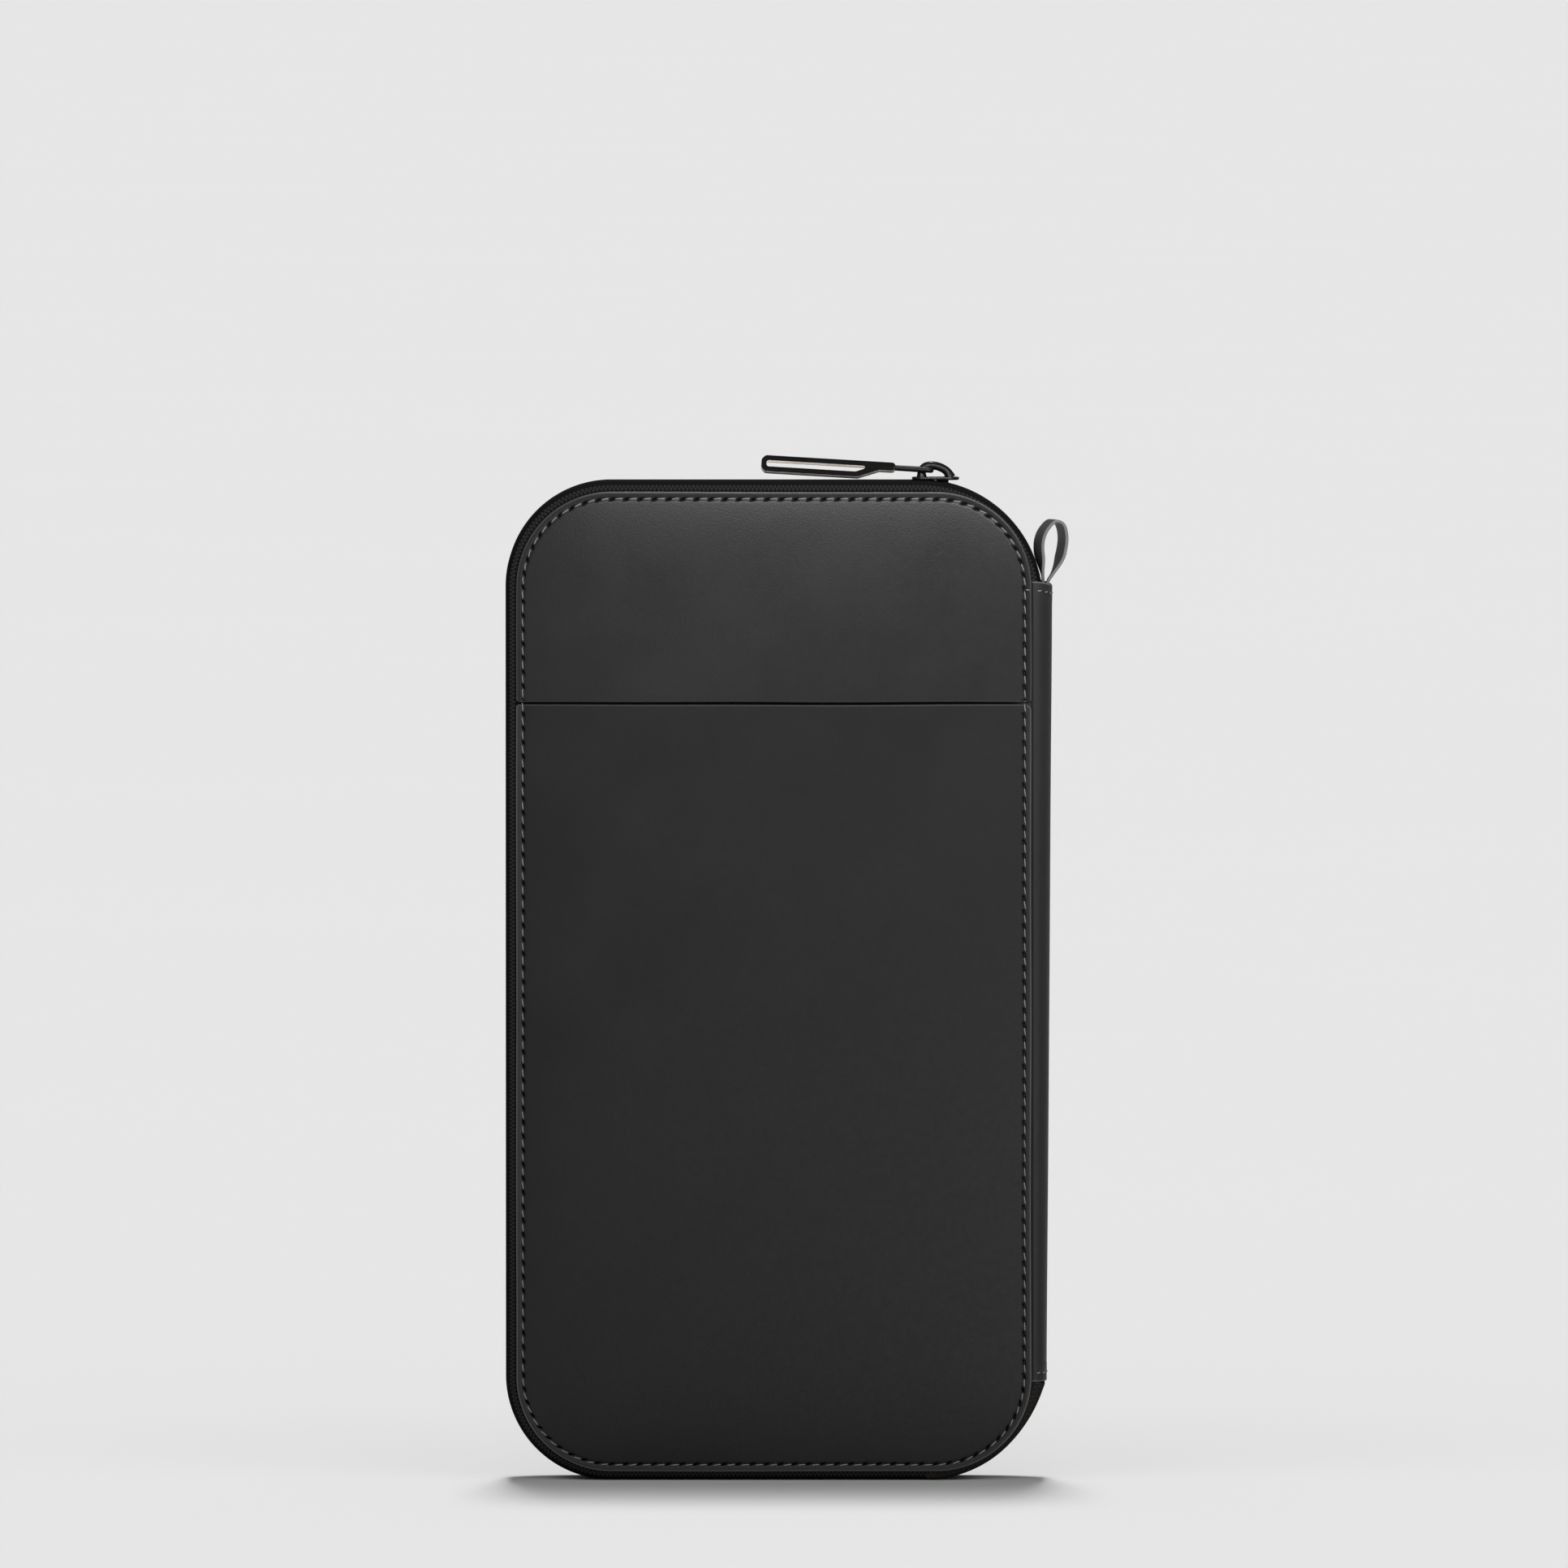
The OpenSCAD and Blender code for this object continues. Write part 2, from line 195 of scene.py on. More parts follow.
def tube(points, radius, sides, squash=1.0, up=(0, 1, 0)):
    """Points and faces of a round or flattened tube along a list of points."""
    p = np.asarray(points, float)
    radius = np.broadcast_to(np.asarray(radius, float), len(p))[:, None, None]
    tangent = np.gradient(p, axis=0)
    tangent /= np.linalg.norm(tangent, axis=1)[:, None]
    side = np.cross(tangent, np.array(up, float))
    side /= np.maximum(np.linalg.norm(side, axis=1), 1e-9)[:, None]
    other = squash * np.cross(side, tangent)
    a = (np.arange(sides) * 2 * math.pi / sides)[None, :, None]
    rings = p[:, None] + radius * (np.cos(a) * side[:, None] + np.sin(a) * other[:, None])
    return rings.reshape(-1, 3), swept_faces(sides, len(p))


def joined(pieces):
    """Several (points, faces) as one."""
    verts, faces, start = [], [], 0
    for v, f in pieces:
        verts.append(v)
        faces += [tuple(i + start for i in face) for face in f]
        start += len(v)
    return np.concatenate(verts), faces


def curve_through(points, count):
    """A smooth curve through a few points, as count points."""
    p = np.asarray(points, float)
    ext = np.vstack([2 * p[0] - p[1], p, 2 * p[-1] - p[-2]])
    out = []
    for t in np.linspace(0, len(p) - 1, count):
        i = min(int(t), len(p) - 2)
        u = t - i
        a, b, c, d = ext[i:i + 4]
        bend = (2 * a - 5 * b + 4 * c - d) * u ** 2 + (3 * b - a - 3 * c + d) * u ** 3
        out.append(0.5 * (2 * b + (c - a) * u + bend))
    return np.array(out)


def bevelled(obj, width, angle=35):
    """Rounds an object's edges sharper than an angle and keeps the result as its mesh."""
    modifier = obj.modifiers.new("round", "BEVEL")
    modifier.width = width * MM
    modifier.segments = 3
    modifier.limit_method = "ANGLE"
    modifier.angle_limit = math.radians(angle)
    obj.data = evaluated_mesh(obj)
    obj.modifiers.clear()
    return obj


def evaluated_mesh(obj):
    """A new mesh of what an object's modifiers or curve settings make."""
    bpy.context.view_layer.update()
    return bpy.data.meshes.new_from_object(obj.evaluated_get(bpy.context.evaluated_depsgraph_get()))


# ---- materials ----

class Nodes:
    """A material's node tree, with short ways to add and join nodes."""

    def __init__(self, name):
        self.material = bpy.data.materials.new(name)
        self.material.use_nodes = True
        self.tree = self.material.node_tree
        self.tree.nodes.clear()
        self.shader = self.add("ShaderNodeBsdfPrincipled")
        output = self.add("ShaderNodeOutputMaterial")
        self.tree.links.new(self.shader.outputs[0], output.inputs["Surface"])

    def add(self, kind, inputs=None, **settings):
        made = self.tree.nodes.new(kind)
        for key, value in settings.items():
            setattr(made, key, value)
        for key, value in (inputs or {}).items():
            self.put(made.inputs[key], value)
        return made

    def put(self, socket, value):
        if isinstance(value, bpy.types.NodeSocket):
            self.tree.links.new(value, socket)
        else:
            socket.default_value = value

    def set(self, **values):
        """Sets the shader's own sockets, with underscores for spaces."""
        for key, value in values.items():
            self.put(self.shader.inputs[key.replace("_", " ")], value)

    def place(self):
        return self.add("ShaderNodeTexCoord").outputs["Object"]

    def math(self, operation, *values):
        made = self.add("ShaderNodeMath", operation=operation)
        for socket, value in zip(made.inputs, values):
            self.put(socket, value)
        return made.outputs[0]

    def times(self, a, b):
        return self.math("MULTIPLY", a, b)

    def plus(self, a, b):
        return self.math("ADD", a, b)

    def noise(self, size_mm, detail=3.0, rough=0.5, vector=None):
        made = self.add("ShaderNodeTexNoise", {"Vector": vector or self.place(), "Scale": 1000 / size_mm,
                                               "Detail": detail, "Roughness": rough})
        return made.outputs["Fac"]

    def cells(self, size_mm):
        made = self.add("ShaderNodeTexVoronoi", {"Vector": self.place(), "Scale": 1000 / size_mm})
        return made.outputs["Distance"]

    def attribute(self, label):
        return self.add("ShaderNodeAttribute", attribute_name=label).outputs["Fac"]

    def remap(self, value, low, high, new_low=0.0, new_high=1.0):
        made = self.add("ShaderNodeMapRange", {"Value": value, "From Min": low, "From Max": high,
                                               "To Min": new_low, "To Max": new_high})
        return made.outputs[0]

    def mix(self, factor, a, b):
        made = self.add("ShaderNodeMix", data_type="RGBA")
        self.put(made.inputs[0], factor)
        self.put(made.inputs[6], a)
        self.put(made.inputs[7], b)
        return made.outputs[2]

    def bump(self, height, depth_mm, strength):
        made = self.add("ShaderNodeBump", {"Height": height, "Distance": depth_mm * MM,
                                           "Strength": strength})
        return made.outputs[0]


def grey(value, warm=0.0):
    """A linear colour from an sRGB grey of 0 to 255, warmed a little."""
    linear = (value / 255) ** 2.2
    return (linear * (1 + warm), linear, linear * (1 - warm), 1)


def leather(name, tone, rough=0.42, grain=0.5, edge_paint_highlight_tone=54, margin_light_shade_tone=None, gloss=0.42):
    """Fine-grained leather. Its edges carry paint under a painted highlight, its margins outside
    the seam are pressed and carry painted light and shade, and its needle holes are painted
    near black as painted shade."""
    m = Nodes(name)
    mottle = m.remap(m.noise(26, 4.0), 0.3, 0.7)
    fine = m.remap(m.noise(1.6, 3.0), 0.3, 0.7)
    colour = m.mix(mottle, grey(tone * 0.94), grey(tone * 1.06))
    colour = m.mix(m.times(fine, 0.25), colour, grey(tone * 0.82))
    # painted light and shade on the pressed margins: darker on the upper panel under its top highlight,
    # lighter on the pocket and back
    if margin_light_shade_tone:
        colour = m.mix(m.attribute("margin"), colour, grey(margin_light_shade_tone))
    # edge paint, lightened further as a painted highlight along the rounded edge
    colour = m.mix(m.attribute("edge"), colour, grey(edge_paint_highlight_tone))
    # painted shade: the needle pits and their slopes near black
    colour = m.mix(m.attribute("hole"), colour, grey(3))
    pores = m.times(m.remap(m.cells(grain), 0.0, 0.6), 0.7)
    creases = m.times(m.noise(grain * 3.4, 4.0, 0.6), 0.6)
    height = m.plus(pores, creases)
    m.set(Base_Color=colour, Normal=m.bump(height, 0.022, 0.75))
    spread = m.plus(m.times(mottle, 0.07), m.times(fine, 0.05))
    rough_here = m.plus(spread, rough - 0.05)
    dull_holes = m.math("MAXIMUM", rough_here, m.times(m.attribute("hole"), 0.95))
    m.set(Roughness=dull_holes, Specular_IOR_Level=gloss)
    return m.material


def woven(name, tone, across_mm, along_mm, warm=0.0, depth=0.05, valley_shade_contrast=0.35, row_highlight_tone=60):
    """A woven tape whose yarns follow the piece's own along and across attributes."""
    m = Nodes(name)
    turn = 2 * math.pi
    across = m.times(m.attribute("across"), turn / across_mm)
    along = m.times(m.attribute("along"), turn / along_mm)
    slant = m.math("SINE", m.plus(across, along))
    counter = m.math("SINE", m.math("SUBTRACT", along, across))
    yarn = m.times(m.math("SINE", along), m.math("COSINE", across))
    twill = m.math("MAXIMUM", slant, m.times(counter, 0.6))
    height = m.plus(m.times(twill, 0.5), m.times(yarn, 0.5))
    height = m.plus(height, m.noise(0.22, 2.0))
    # painted shade: darker in the weave's valleys and lighter on its raised yarns, following the bump
    # height
    low, high = grey(tone * (1 - valley_shade_contrast), warm), grey(tone * (1 + valley_shade_contrast), warm)
    colour = m.mix(m.remap(height, -0.8, 1.6), low, high)
    colour = m.mix(m.times(m.noise(9, 3.0), 0.5), colour, grey(tone * 0.75, warm))
    # painted highlight: the raised rows beside the leather are coloured lighter
    colour = m.mix(m.attribute("row"), colour, grey(row_highlight_tone, warm))
    m.set(Base_Color=colour, Roughness=0.9, Normal=m.bump(height, depth, 0.9))
    m.set(Specular_IOR_Level=0.06)
    return m.material


def lining_twill():
    """Lining cloth: diagonal ribs crossed by a finer weave."""
    m = Nodes("lining_twill")
    tone, pitch_mm = 30, 0.55
    waves = []
    for part, warp, way in ((10, 0.3, "DIAGONAL"), (7, 0.2, "X")):
        sizes = {"Vector": m.place(), "Scale": 1000 / pitch_mm / part, "Distortion": warp}
        waves.append(m.add("ShaderNodeTexWave", sizes, bands_direction=way).outputs["Fac"])
    ribs, threads = waves
    height = m.plus(ribs, m.times(threads, 0.5))
    # painted shade: darker between the ribs and lighter on them, following the bump height
    shade = m.mix(m.remap(height, 0.1, 1.3), grey(tone * 0.7), grey(tone * 1.25))
    shade = m.mix(m.times(m.noise(30, 4.0), 0.5), shade, grey(tone * 0.8))
    m.set(Base_Color=shade, Roughness=0.85, Normal=m.bump(height, 0.05, 0.8))
    m.set(Sheen_Weight=0.2, Specular_IOR_Level=0.25)
    return m.material


def thread_material():
    m = Nodes("thread")
    along = m.times(m.attribute("along"), 2 * math.pi / 0.5)
    ply = m.math("SINE", along)
    # painted shade: darker in the twist's grooves and lighter on the plies, following the bump
    level = m.remap(m.plus(ply, m.noise(0.5, 2.0)), -0.6, 1.6)
    colour = m.mix(level, grey(82), grey(150))
    # painted shade where the thread meets a needle hole, read from a hole attribute that the stitches do
    # not carry
    colour = m.mix(m.attribute("hole"), colour, grey(30))
    m.set(Base_Color=colour, Roughness=0.55, Normal=m.bump(ply, 0.05, 0.7), Specular_IOR_Level=0.4)
    return m.material


def metal(name, tone, rough, warm=0.0, metallic=1.0, shine=0.5):
    """Plated or painted metal with fine scratches and slightly uneven gloss."""
    m = Nodes(name)
    stretched = m.add("ShaderNodeMapping", {"Vector": m.place(), "Scale": (0.12, 1, 1)}).outputs[0]
    scratch = m.noise(0.35, 3.0, 0.6, stretched)
    cloud = m.noise(3.5, 3.0)
    colour = m.mix(m.remap(cloud, 0.35, 0.65, 0, 0.1), grey(tone, warm), grey(tone * 1.8 + 12, warm))
    spread = m.times(m.remap(scratch, 0.3, 0.7), 0.12)
    m.set(Base_Color=colour, Metallic=metallic, Roughness=m.plus(spread, rough - 0.05))
    m.set(Normal=m.bump(scratch, 0.006, 0.5), Specular_IOR_Level=shine)
    return m.material


def gloss_black():
    """Black lacquer over a slightly rough casting, which catches small bright specks."""
    m = Nodes("zip_gloss_black")
    lumps = m.noise(0.6, 3.0, 0.6)
    tint = m.mix(m.noise(2.0, 2.0), grey(6), grey(20))
    m.set(Base_Color=tint, Roughness=m.remap(lumps, 0.3, 0.7, 0.18, 0.4), Normal=m.bump(lumps, 0.05, 0.7))
    m.set(Specular_IOR_Level=0.2)
    return m.material


def nylon():
    m = Nodes("nylon_coil")
    tint = m.mix(m.noise(2.5, 2.0), grey(20), grey(34))
    m.set(Base_Color=tint, Roughness=0.36, Normal=m.bump(m.noise(0.4, 2.0), 0.01, 0.5))
    return m.material


def fibre_board():
    m = Nodes("fibre_board")
    fibre = m.noise(0.8, 5.0, 0.65)
    # painted shade: the board is coloured dark so the pocket slit in front of it stays dark
    colour = m.mix(fibre, grey(22, 0.1), grey(40, 0.1))
    m.set(Base_Color=colour, Roughness=0.9, Normal=m.bump(fibre, 0.08, 0.8))
    return m.material


# Margin and edge tones differ from panel to panel as painted light and shade.
UPPER_LEATHER = leather("leather_upper", 34, rough=0.34, margin_light_shade_tone=22, edge_paint_highlight_tone=62, gloss=0.26)
POCKET_LEATHER = leather("leather_pocket", 34, rough=0.4, margin_light_shade_tone=41, edge_paint_highlight_tone=80, gloss=0.19)
BACK_LEATHER = leather("leather_back", 36, rough=0.4, margin_light_shade_tone=44, edge_paint_highlight_tone=84, gloss=0.32)
SPINE_LEATHER = leather("leather_spine", 36, rough=0.45, edge_paint_highlight_tone=110, gloss=0.25)
LOOP_LEATHER = leather("leather_loop", 62, rough=0.5, edge_paint_highlight_tone=100, gloss=0.3)
INNER_LEATHER = leather("leather_inner", 34, rough=0.5, grain=0.7, edge_paint_highlight_tone=58)
TAPE = woven("zip_tape", 16, 0.9, 0.7, row_highlight_tone=50)
TAB = woven("corner_tab", 28, 0.8, 0.75, warm=0.1, depth=0.1, valley_shade_contrast=0.7, row_highlight_tone=52)
LINING = lining_twill()
THREAD = thread_material()
ZIP_METAL = gloss_black()
STOP_METAL = metal("zip_stop", 60, 0.3)
PULLER_METAL = metal("puller_matte_black", 13, 0.62, warm=0.14, metallic=0.0, shine=0.07)
# the puller's walls: bare metal lighter than the face, coloured near white as painted light where they
# face down into shade
LIT_WALL_METAL = metal("puller_edge", 236, 0.45, warm=0.06, metallic=0.0)
WIRE_METAL = metal("link_gunmetal", 26, 0.36, warm=0.06, metallic=0.6, shine=0.3)
NYLON = nylon()
SHADED_BOARD = fibre_board()


# ---- leather panels and flat sheets ----

SIDES = {"front": -1, "back": 1}
EDGE_PROFILE = [(1.2, 0.0), (0.35, 0.0), (0.1, 0.1), (0.0, 0.35), (0.0, 0.7), (0.05, 0.88), (0.16, 0.97)]
FINE_INSETS = [0.32, 0.5, 0.75, 1.0, 1.2, *np.arange(1.38, 2.6, 0.16), 2.68, 2.9, 3.2, 3.7, 4.4, 5.2]
WIDE_INSETS = [6.4, 8, 10, 12.5, 15, 18, 21, 24.5, 28, 33, 39, 46, 54, 61]
EDGE_DROP = 0.52
CROWN = 0.8
GROOVE = 0.16


def spaced(path, pitch, closed=True):
    """Points every pitch or so along a path, and the path's direction at each."""
    p = np.asarray(path, float)
    if closed:
        p = np.vstack([p, p[:1]])
    s = np.concatenate([[0], np.cumsum(np.linalg.norm(np.diff(p, axis=0), axis=1))])
    n = max(1, round(s[-1] / pitch))
    marks = np.arange(n if closed else n + 1) * s[-1] / n

    def at(where):
        where = where % s[-1] if closed else np.clip(where, 0, s[-1])
        return np.stack([np.interp(where, s, p[:, k]) for k in range(p.shape[1])], 1)

    ahead = at(marks + 0.2) - at(marks - 0.2)
    return at(marks), ahead / np.linalg.norm(ahead, axis=1)[:, None]


def ring_counts(rect, step, arc_step):
    """Point counts for outline(), as multiples of four."""
    x0, z0, x1, z1 = rect
    spans = [x1 - x0 - CORNER, z1 - z0 - CORNER, CORNER * math.pi / 2]
    steps = [step, step, arc_step]
    return tuple(4 * max(1, round(span / size / 4)) for span, size in zip(spans, steps))


def ringed(rect, radii, rows):
    """Points in rings, from rows of (inset, share, counts): x, z, each point's inset and share,
    and the size of each ring."""
    flat = np.concatenate([outline(rect, radii, inset, counts) for inset, _, counts in rows])
    sizes = [2 * (counts[0] + counts[1]) + 4 * counts[2] for _, _, counts in rows]
    inset, share = (np.repeat([row[k] for row in rows], sizes) for k in (0, 1))
    return flat[:, 0], flat[:, 1], inset, share, sizes


def seam_path():
    counts = ring_counts(COVER, 0.5, 0.5)
    return outline(COVER, COVER_RADII, STITCH_IN, counts)


HOLES, HOLE_WAYS = spaced(seam_path(), STITCH_PITCH)


PIT_SLANT = math.radians(20)
PIT_BACK = 0.4
PIT_INWARD = 0.2
PIT_HALF_LENGTH = 0.8
PIT_HALF_WIDTH = 0.27
PIT_DEPTH = 0.6


def needle_pits(x, z):
    """How deep each point lies in a slanting needle hole, from 0 to 1."""
    depth = np.zeros(len(x))
    cos, sin = math.cos(PIT_SLANT), math.sin(PIT_SLANT)
    for (hx, hz), (tx, tz) in zip(HOLES, HOLE_WAYS):
        near = np.nonzero((np.abs(x - hx) < 2) & (np.abs(z - hz) < 2))[0]
        along = (x[near] - hx) * tx + (z[near] - hz) * tz + PIT_BACK
        inward = (z[near] - hz) * tx - (x[near] - hx) * tz - PIT_INWARD
        a = (along * cos + inward * sin) / PIT_HALF_LENGTH
        b = (inward * cos - along * sin) / PIT_HALF_WIDTH
        pit = np.exp(-(a ** 2 + b ** 2) ** 2)
        depth[near] = np.maximum(depth[near], pit)
    return depth


def cover_relief(x, z, seed):
    """The crown over the board, with a stitch groove and the leather's soft unevenness."""
    e = edge_distance(x, z)
    crown = CROWN * (1 - np.exp(-np.maximum(e - STITCH_IN, 0) / 9))
    return crown - GROOVE * bell(e - STITCH_IN, 0.5) + 0.03 * ripple(x, z, seed, 70)


def cover_panel(name, rect, radii, label, material, node, seed):
    """One stiffened leather panel, with a rounded edge carrying edge paint and a painted highlight, and
    the seam's needle holes, painted dark as painted shade.
    """
    x0, z0, x1, z1 = rect
    fine = ring_counts(rect, 0.42, 0.4)
    coarse = tuple(n // 4 for n in fine)
    reach = min(x1 - x0, z1 - z0) / 2 - 0.8
    face_rings = [(inset, 1.0, fine) for inset in FINE_INSETS]
    face_rings += [(inset, 1.0, coarse) for inset in WIDE_INSETS if inset < reach]
    rows = [(inset, share, fine) for inset, share in EDGE_PROFILE] + face_rings
    x, z, inset, share, sizes = ringed(rect, radii, rows)
    pits = needle_pits(x, z) * (share == 1)
    relief = FACE - EDGE_DROP + cover_relief(x, z, seed) - PIT_DEPTH * pits
    depth = UNDER + share * (relief - UNDER)
    wander = 0.13 * np.exp(-inset / 3)
    moved_x = x + wander * ripple(x, z, seed + 1, 55)
    moved_z = z + wander * ripple(x, z, seed + 2, 55)
    verts = np.stack([moved_x, SIDES[label] * depth, moved_z], 1)
    faces = [tuple(range(sizes[0]))] + stack_faces(sizes)
    faces.append(tuple(range(len(verts) - sizes[-1], len(verts))))
    # painted: edge paint with a painted highlight on the rounded edge, kept faint on the pocket's lip and
    # left off the upper panel's lip so the slit between them stays dark
    painted = np.where(share > 0.05, np.clip(1.5 - inset / 0.3, 0, 1), 0.0)
    painted[np.abs(z - MOUTH_LOW) < 0.4] *= 0.3
    painted[np.abs(z - MOUTH_HIGH) < 0.4] = 0.0
    # margin marks the pressed strip outside the seam, which takes painted light and shade
    margin = smooth((STITCH_IN + 0.15 - edge_distance(x, z)) / 0.3)
    # hole spreads the painted shade over the pits and their slopes
    tags = {"edge": painted, "hole": np.clip(pits * 3.5, 0, 1), "margin": margin}
    panel = make_object(name, verts, faces, [material], label + "_cover", tags=tags, weld=0.02)
    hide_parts(node)


def plate(name, rect, radii, near, far, label, material, lift=None, step=2.0):
    """A flat piece with rounded edges between two depths. lift(x, z) moves it further out."""
    x0, z0, x1, z1 = rect
    counts = ring_counts(rect, step, min(step, 1.2))
    reach = min(x1 - x0, z1 - z0) / 2 - 0.8
    edge = 0.22
    wide = [inset for inset in (1, 2, 3, 4.5, 6.5, 9, 12, 16, 21, 27, 34, 42, 50, 58) if inset < reach]
    bend = [(edge, 0.0), (edge * 0.3, 0.08), (0.0, 0.35), (0.0, 0.65), (edge * 0.3, 0.92), (edge, 1.0)]
    rows = [(inset, 0.0) for inset in wide[::-1]] + bend + [(inset, 1.0) for inset in wide]
    x, z, inset, share, sizes = ringed(rect, radii, [(*row, counts) for row in rows])
    depth = near + share * (far - near) + (lift(x, z) if lift else 0)
    verts = np.stack([x, SIDES[label] * depth, z], 1)
    painted = np.clip(1 - inset / edge, 0, 1)
    return make_object(name, verts, swept_faces(sizes[0], len(rows)), [material], label + "_cover",
                       tags={"edge": painted}, weld=0.02)


# ---- stitches ----

def stitches(name, path, facing, body, pitch=STITCH_PITCH, closed=True, seed=1, size=0.145, dip=0.45):
    """Separate stitches along a path. Each one arches over the leather and ends in two holes.
    facing is the way the leather faces, as one direction or one for each point of the path."""
    rng = random.Random(seed)
    facing = np.broadcast_to(np.asarray(facing, float), np.shape(path))
    both = np.hstack([np.asarray(path, float), facing])
    marks, _ = spaced(both, pitch, closed)
    ends = np.roll(marks, -1, 0) if closed else marks[1:]
    sides, rows = 8, 11
    t = np.linspace(0.06, 0.72, rows)
    swing = np.linspace(-1, 1, rows)
    bow = 1 - np.abs(swing) ** 2.6
    pieces, along = [], []
    for start, end in zip(marks, ends):
        up = (start[3:] + end[3:]) / 2
        way = end[:3] - start[:3]
        across = np.cross(up, way / np.linalg.norm(way))
        slant = 0.14 + rng.uniform(-0.07, 0.07)
        height = 0.12 - dip * (1 - bow) + rng.uniform(-0.02, 0.03)
        spine = start[:3] + way * t[:, None] + up * height[:, None]
        spine = spine + across * (slant * swing)[:, None]
        girth = size * (0.62 + 0.38 * bow) * rng.uniform(0.94, 1.06)
        verts, faces = tube(spine, girth, sides, squash=0.85, up=tuple(up))
        pieces.append((verts, faces))
        turn = np.arange(sides) / sides * 0.5
        along.append((np.repeat(t * pitch, sides) + np.tile(turn, rows)))
    verts, faces = joined(pieces)
    tags = {"along": np.concatenate(along)}
    piece = make_object(name, verts, faces, [THREAD], body, tags=tags)
    return piece


# ---- covers ----

SLIT_CORNER = 0.7
LOW_RECT = (COVER[0], COVER[1], COVER[2], MOUTH_LOW)
HIGH_RECT = (COVER[0], MOUTH_HIGH, COVER[2], COVER[3])


def make_covers():
    low_radii = (COVER_R, 1.6, SLIT_CORNER, COVER_R)
    high_radii = (SLIT_CORNER, COVER_R, COVER_R, SLIT_CORNER)
    cover_panel("pocket_panel", LOW_RECT, low_radii, "front", POCKET_LEATHER, "front_pocket_leather", 11)
    cover_panel("upper_panel", HIGH_RECT, high_radii, "front", UPPER_LEATHER, "front_upper_leather", 12)
    cover_panel("back_panel", COVER, COVER_RADII, "back", BACK_LEATHER, "back_leather", 13)


def make_seams():
    """The perimeter seam of each cover, and the spine hem's last stitch across its margin."""
    flat = seam_path()
    on_face = FACE - EDGE_DROP - GROOVE
    for label, side in SIDES.items():
        path = np.stack([flat[:, 0], np.full(len(flat), side * on_face), flat[:, 1]], 1)
        seam = stitches(label + "_seam", path, (0, side, 0), label + "_cover", seed=21 + side)
        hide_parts(label + "_seam_thread")
        x, y, z = COVER[2] - STITCH_IN, side * (on_face + 0.14), spine_high[2] - 2.2
        stitches(label + "_hem_end", [(x, y, z + 0.3), (x + 1.75, y, z)], (0, side, 0), label + "_cover",
                 pitch=1.75, closed=False, seed=31, size=0.16)


# ---- zip band ----

STEP = 0.25
COIL_PITCH = 1.25
BAND_RISE = BULGE
BAND_WALL = 0.5
TAPE_DEPTH = UNDER - BAND_WALL
TURN_DEPTH = UNDER - BAND_RISE
PATH_LOW = BAND_RISE
TOP_BEND = (33.0, TOP - 27.7, 27.7)
LOW_BEND = (34.2, PATH_LOW + 26.2, 26.2)
TAB_R = 33.7
SPINE_TOP, SPINE_LOW = spine_high[2], spine_low[2]
TUCKED = 0.6
TAB_TURN = 340


def arc(cx, cz, r, start, stop):
    """Points and outward directions round an arc, in degrees."""
    n = max(2, round(abs(math.radians(stop - start)) * r / STEP))
    a = np.radians(np.linspace(start, stop, n, endpoint=False))
    way = np.stack([np.cos(a), np.sin(a)], 1)
    return np.array([cx, cz]) + r * way, way


def straight(x0, z0, x1, z1, way):
    n = max(2, round(math.hypot(x1 - x0, z1 - z0) / STEP))
    t = np.linspace(0, 1, n, endpoint=False)[:, None]
    points = np.array([x0, z0]) + t * np.array([x1 - x0, z1 - z0])
    return points, np.repeat([way], n, 0).astype(float)


def route(*runs):
    points = np.concatenate([run[0] for run in runs])
    ways = np.concatenate([run[1] for run in runs])
    s = np.concatenate([[0], np.cumsum(np.linalg.norm(np.diff(points, axis=0), axis=1))])
    return points, ways, s


def chain_route(with_bend):
    """The zip's path: from its upper end over the top, down the left side and along the bottom."""
    cx, cz, r = TOP_BEND
    first = math.degrees(math.asin((SPINE_TOP - TUCKED - cz) / r))
    runs = [arc(cx, cz, r, first, 90)] if with_bend else []
    left_turn = LEFT + CORNER
    runs += [
        straight(cx, TOP, left_turn, TOP, (0, 1)),
        arc(left_turn, TOP - CORNER, CORNER, 90, 180),
        straight(LEFT, TOP - CORNER, LEFT, PATH_LOW + CORNER, (-1, 0)),
        arc(left_turn, PATH_LOW + CORNER, CORNER, 180, 270),
        straight(left_turn, PATH_LOW, LOW_BEND[0] + 1.5 * STEP, PATH_LOW, (0, -1)),
    ]
    return route(*runs)


def tab_route():
    cx, cz, r = LOW_BEND
    corner, way = (np.array([math.cos(a), math.sin(a)]) for a in np.radians([315, TAB_TURN]))
    wide = np.array([cx, cz]) - (TAB_R - r) * corner
    x0, z0 = wide + TAB_R * way
    rise = SPINE_LOW + 0.4 - z0
    run = straight(x0, z0, x0 - rise * way[1] / way[0], z0 + rise, way)
    return route(arc(cx, cz, r, 270, 315), arc(*wide, TAB_R, 315, TAB_TURN), run)


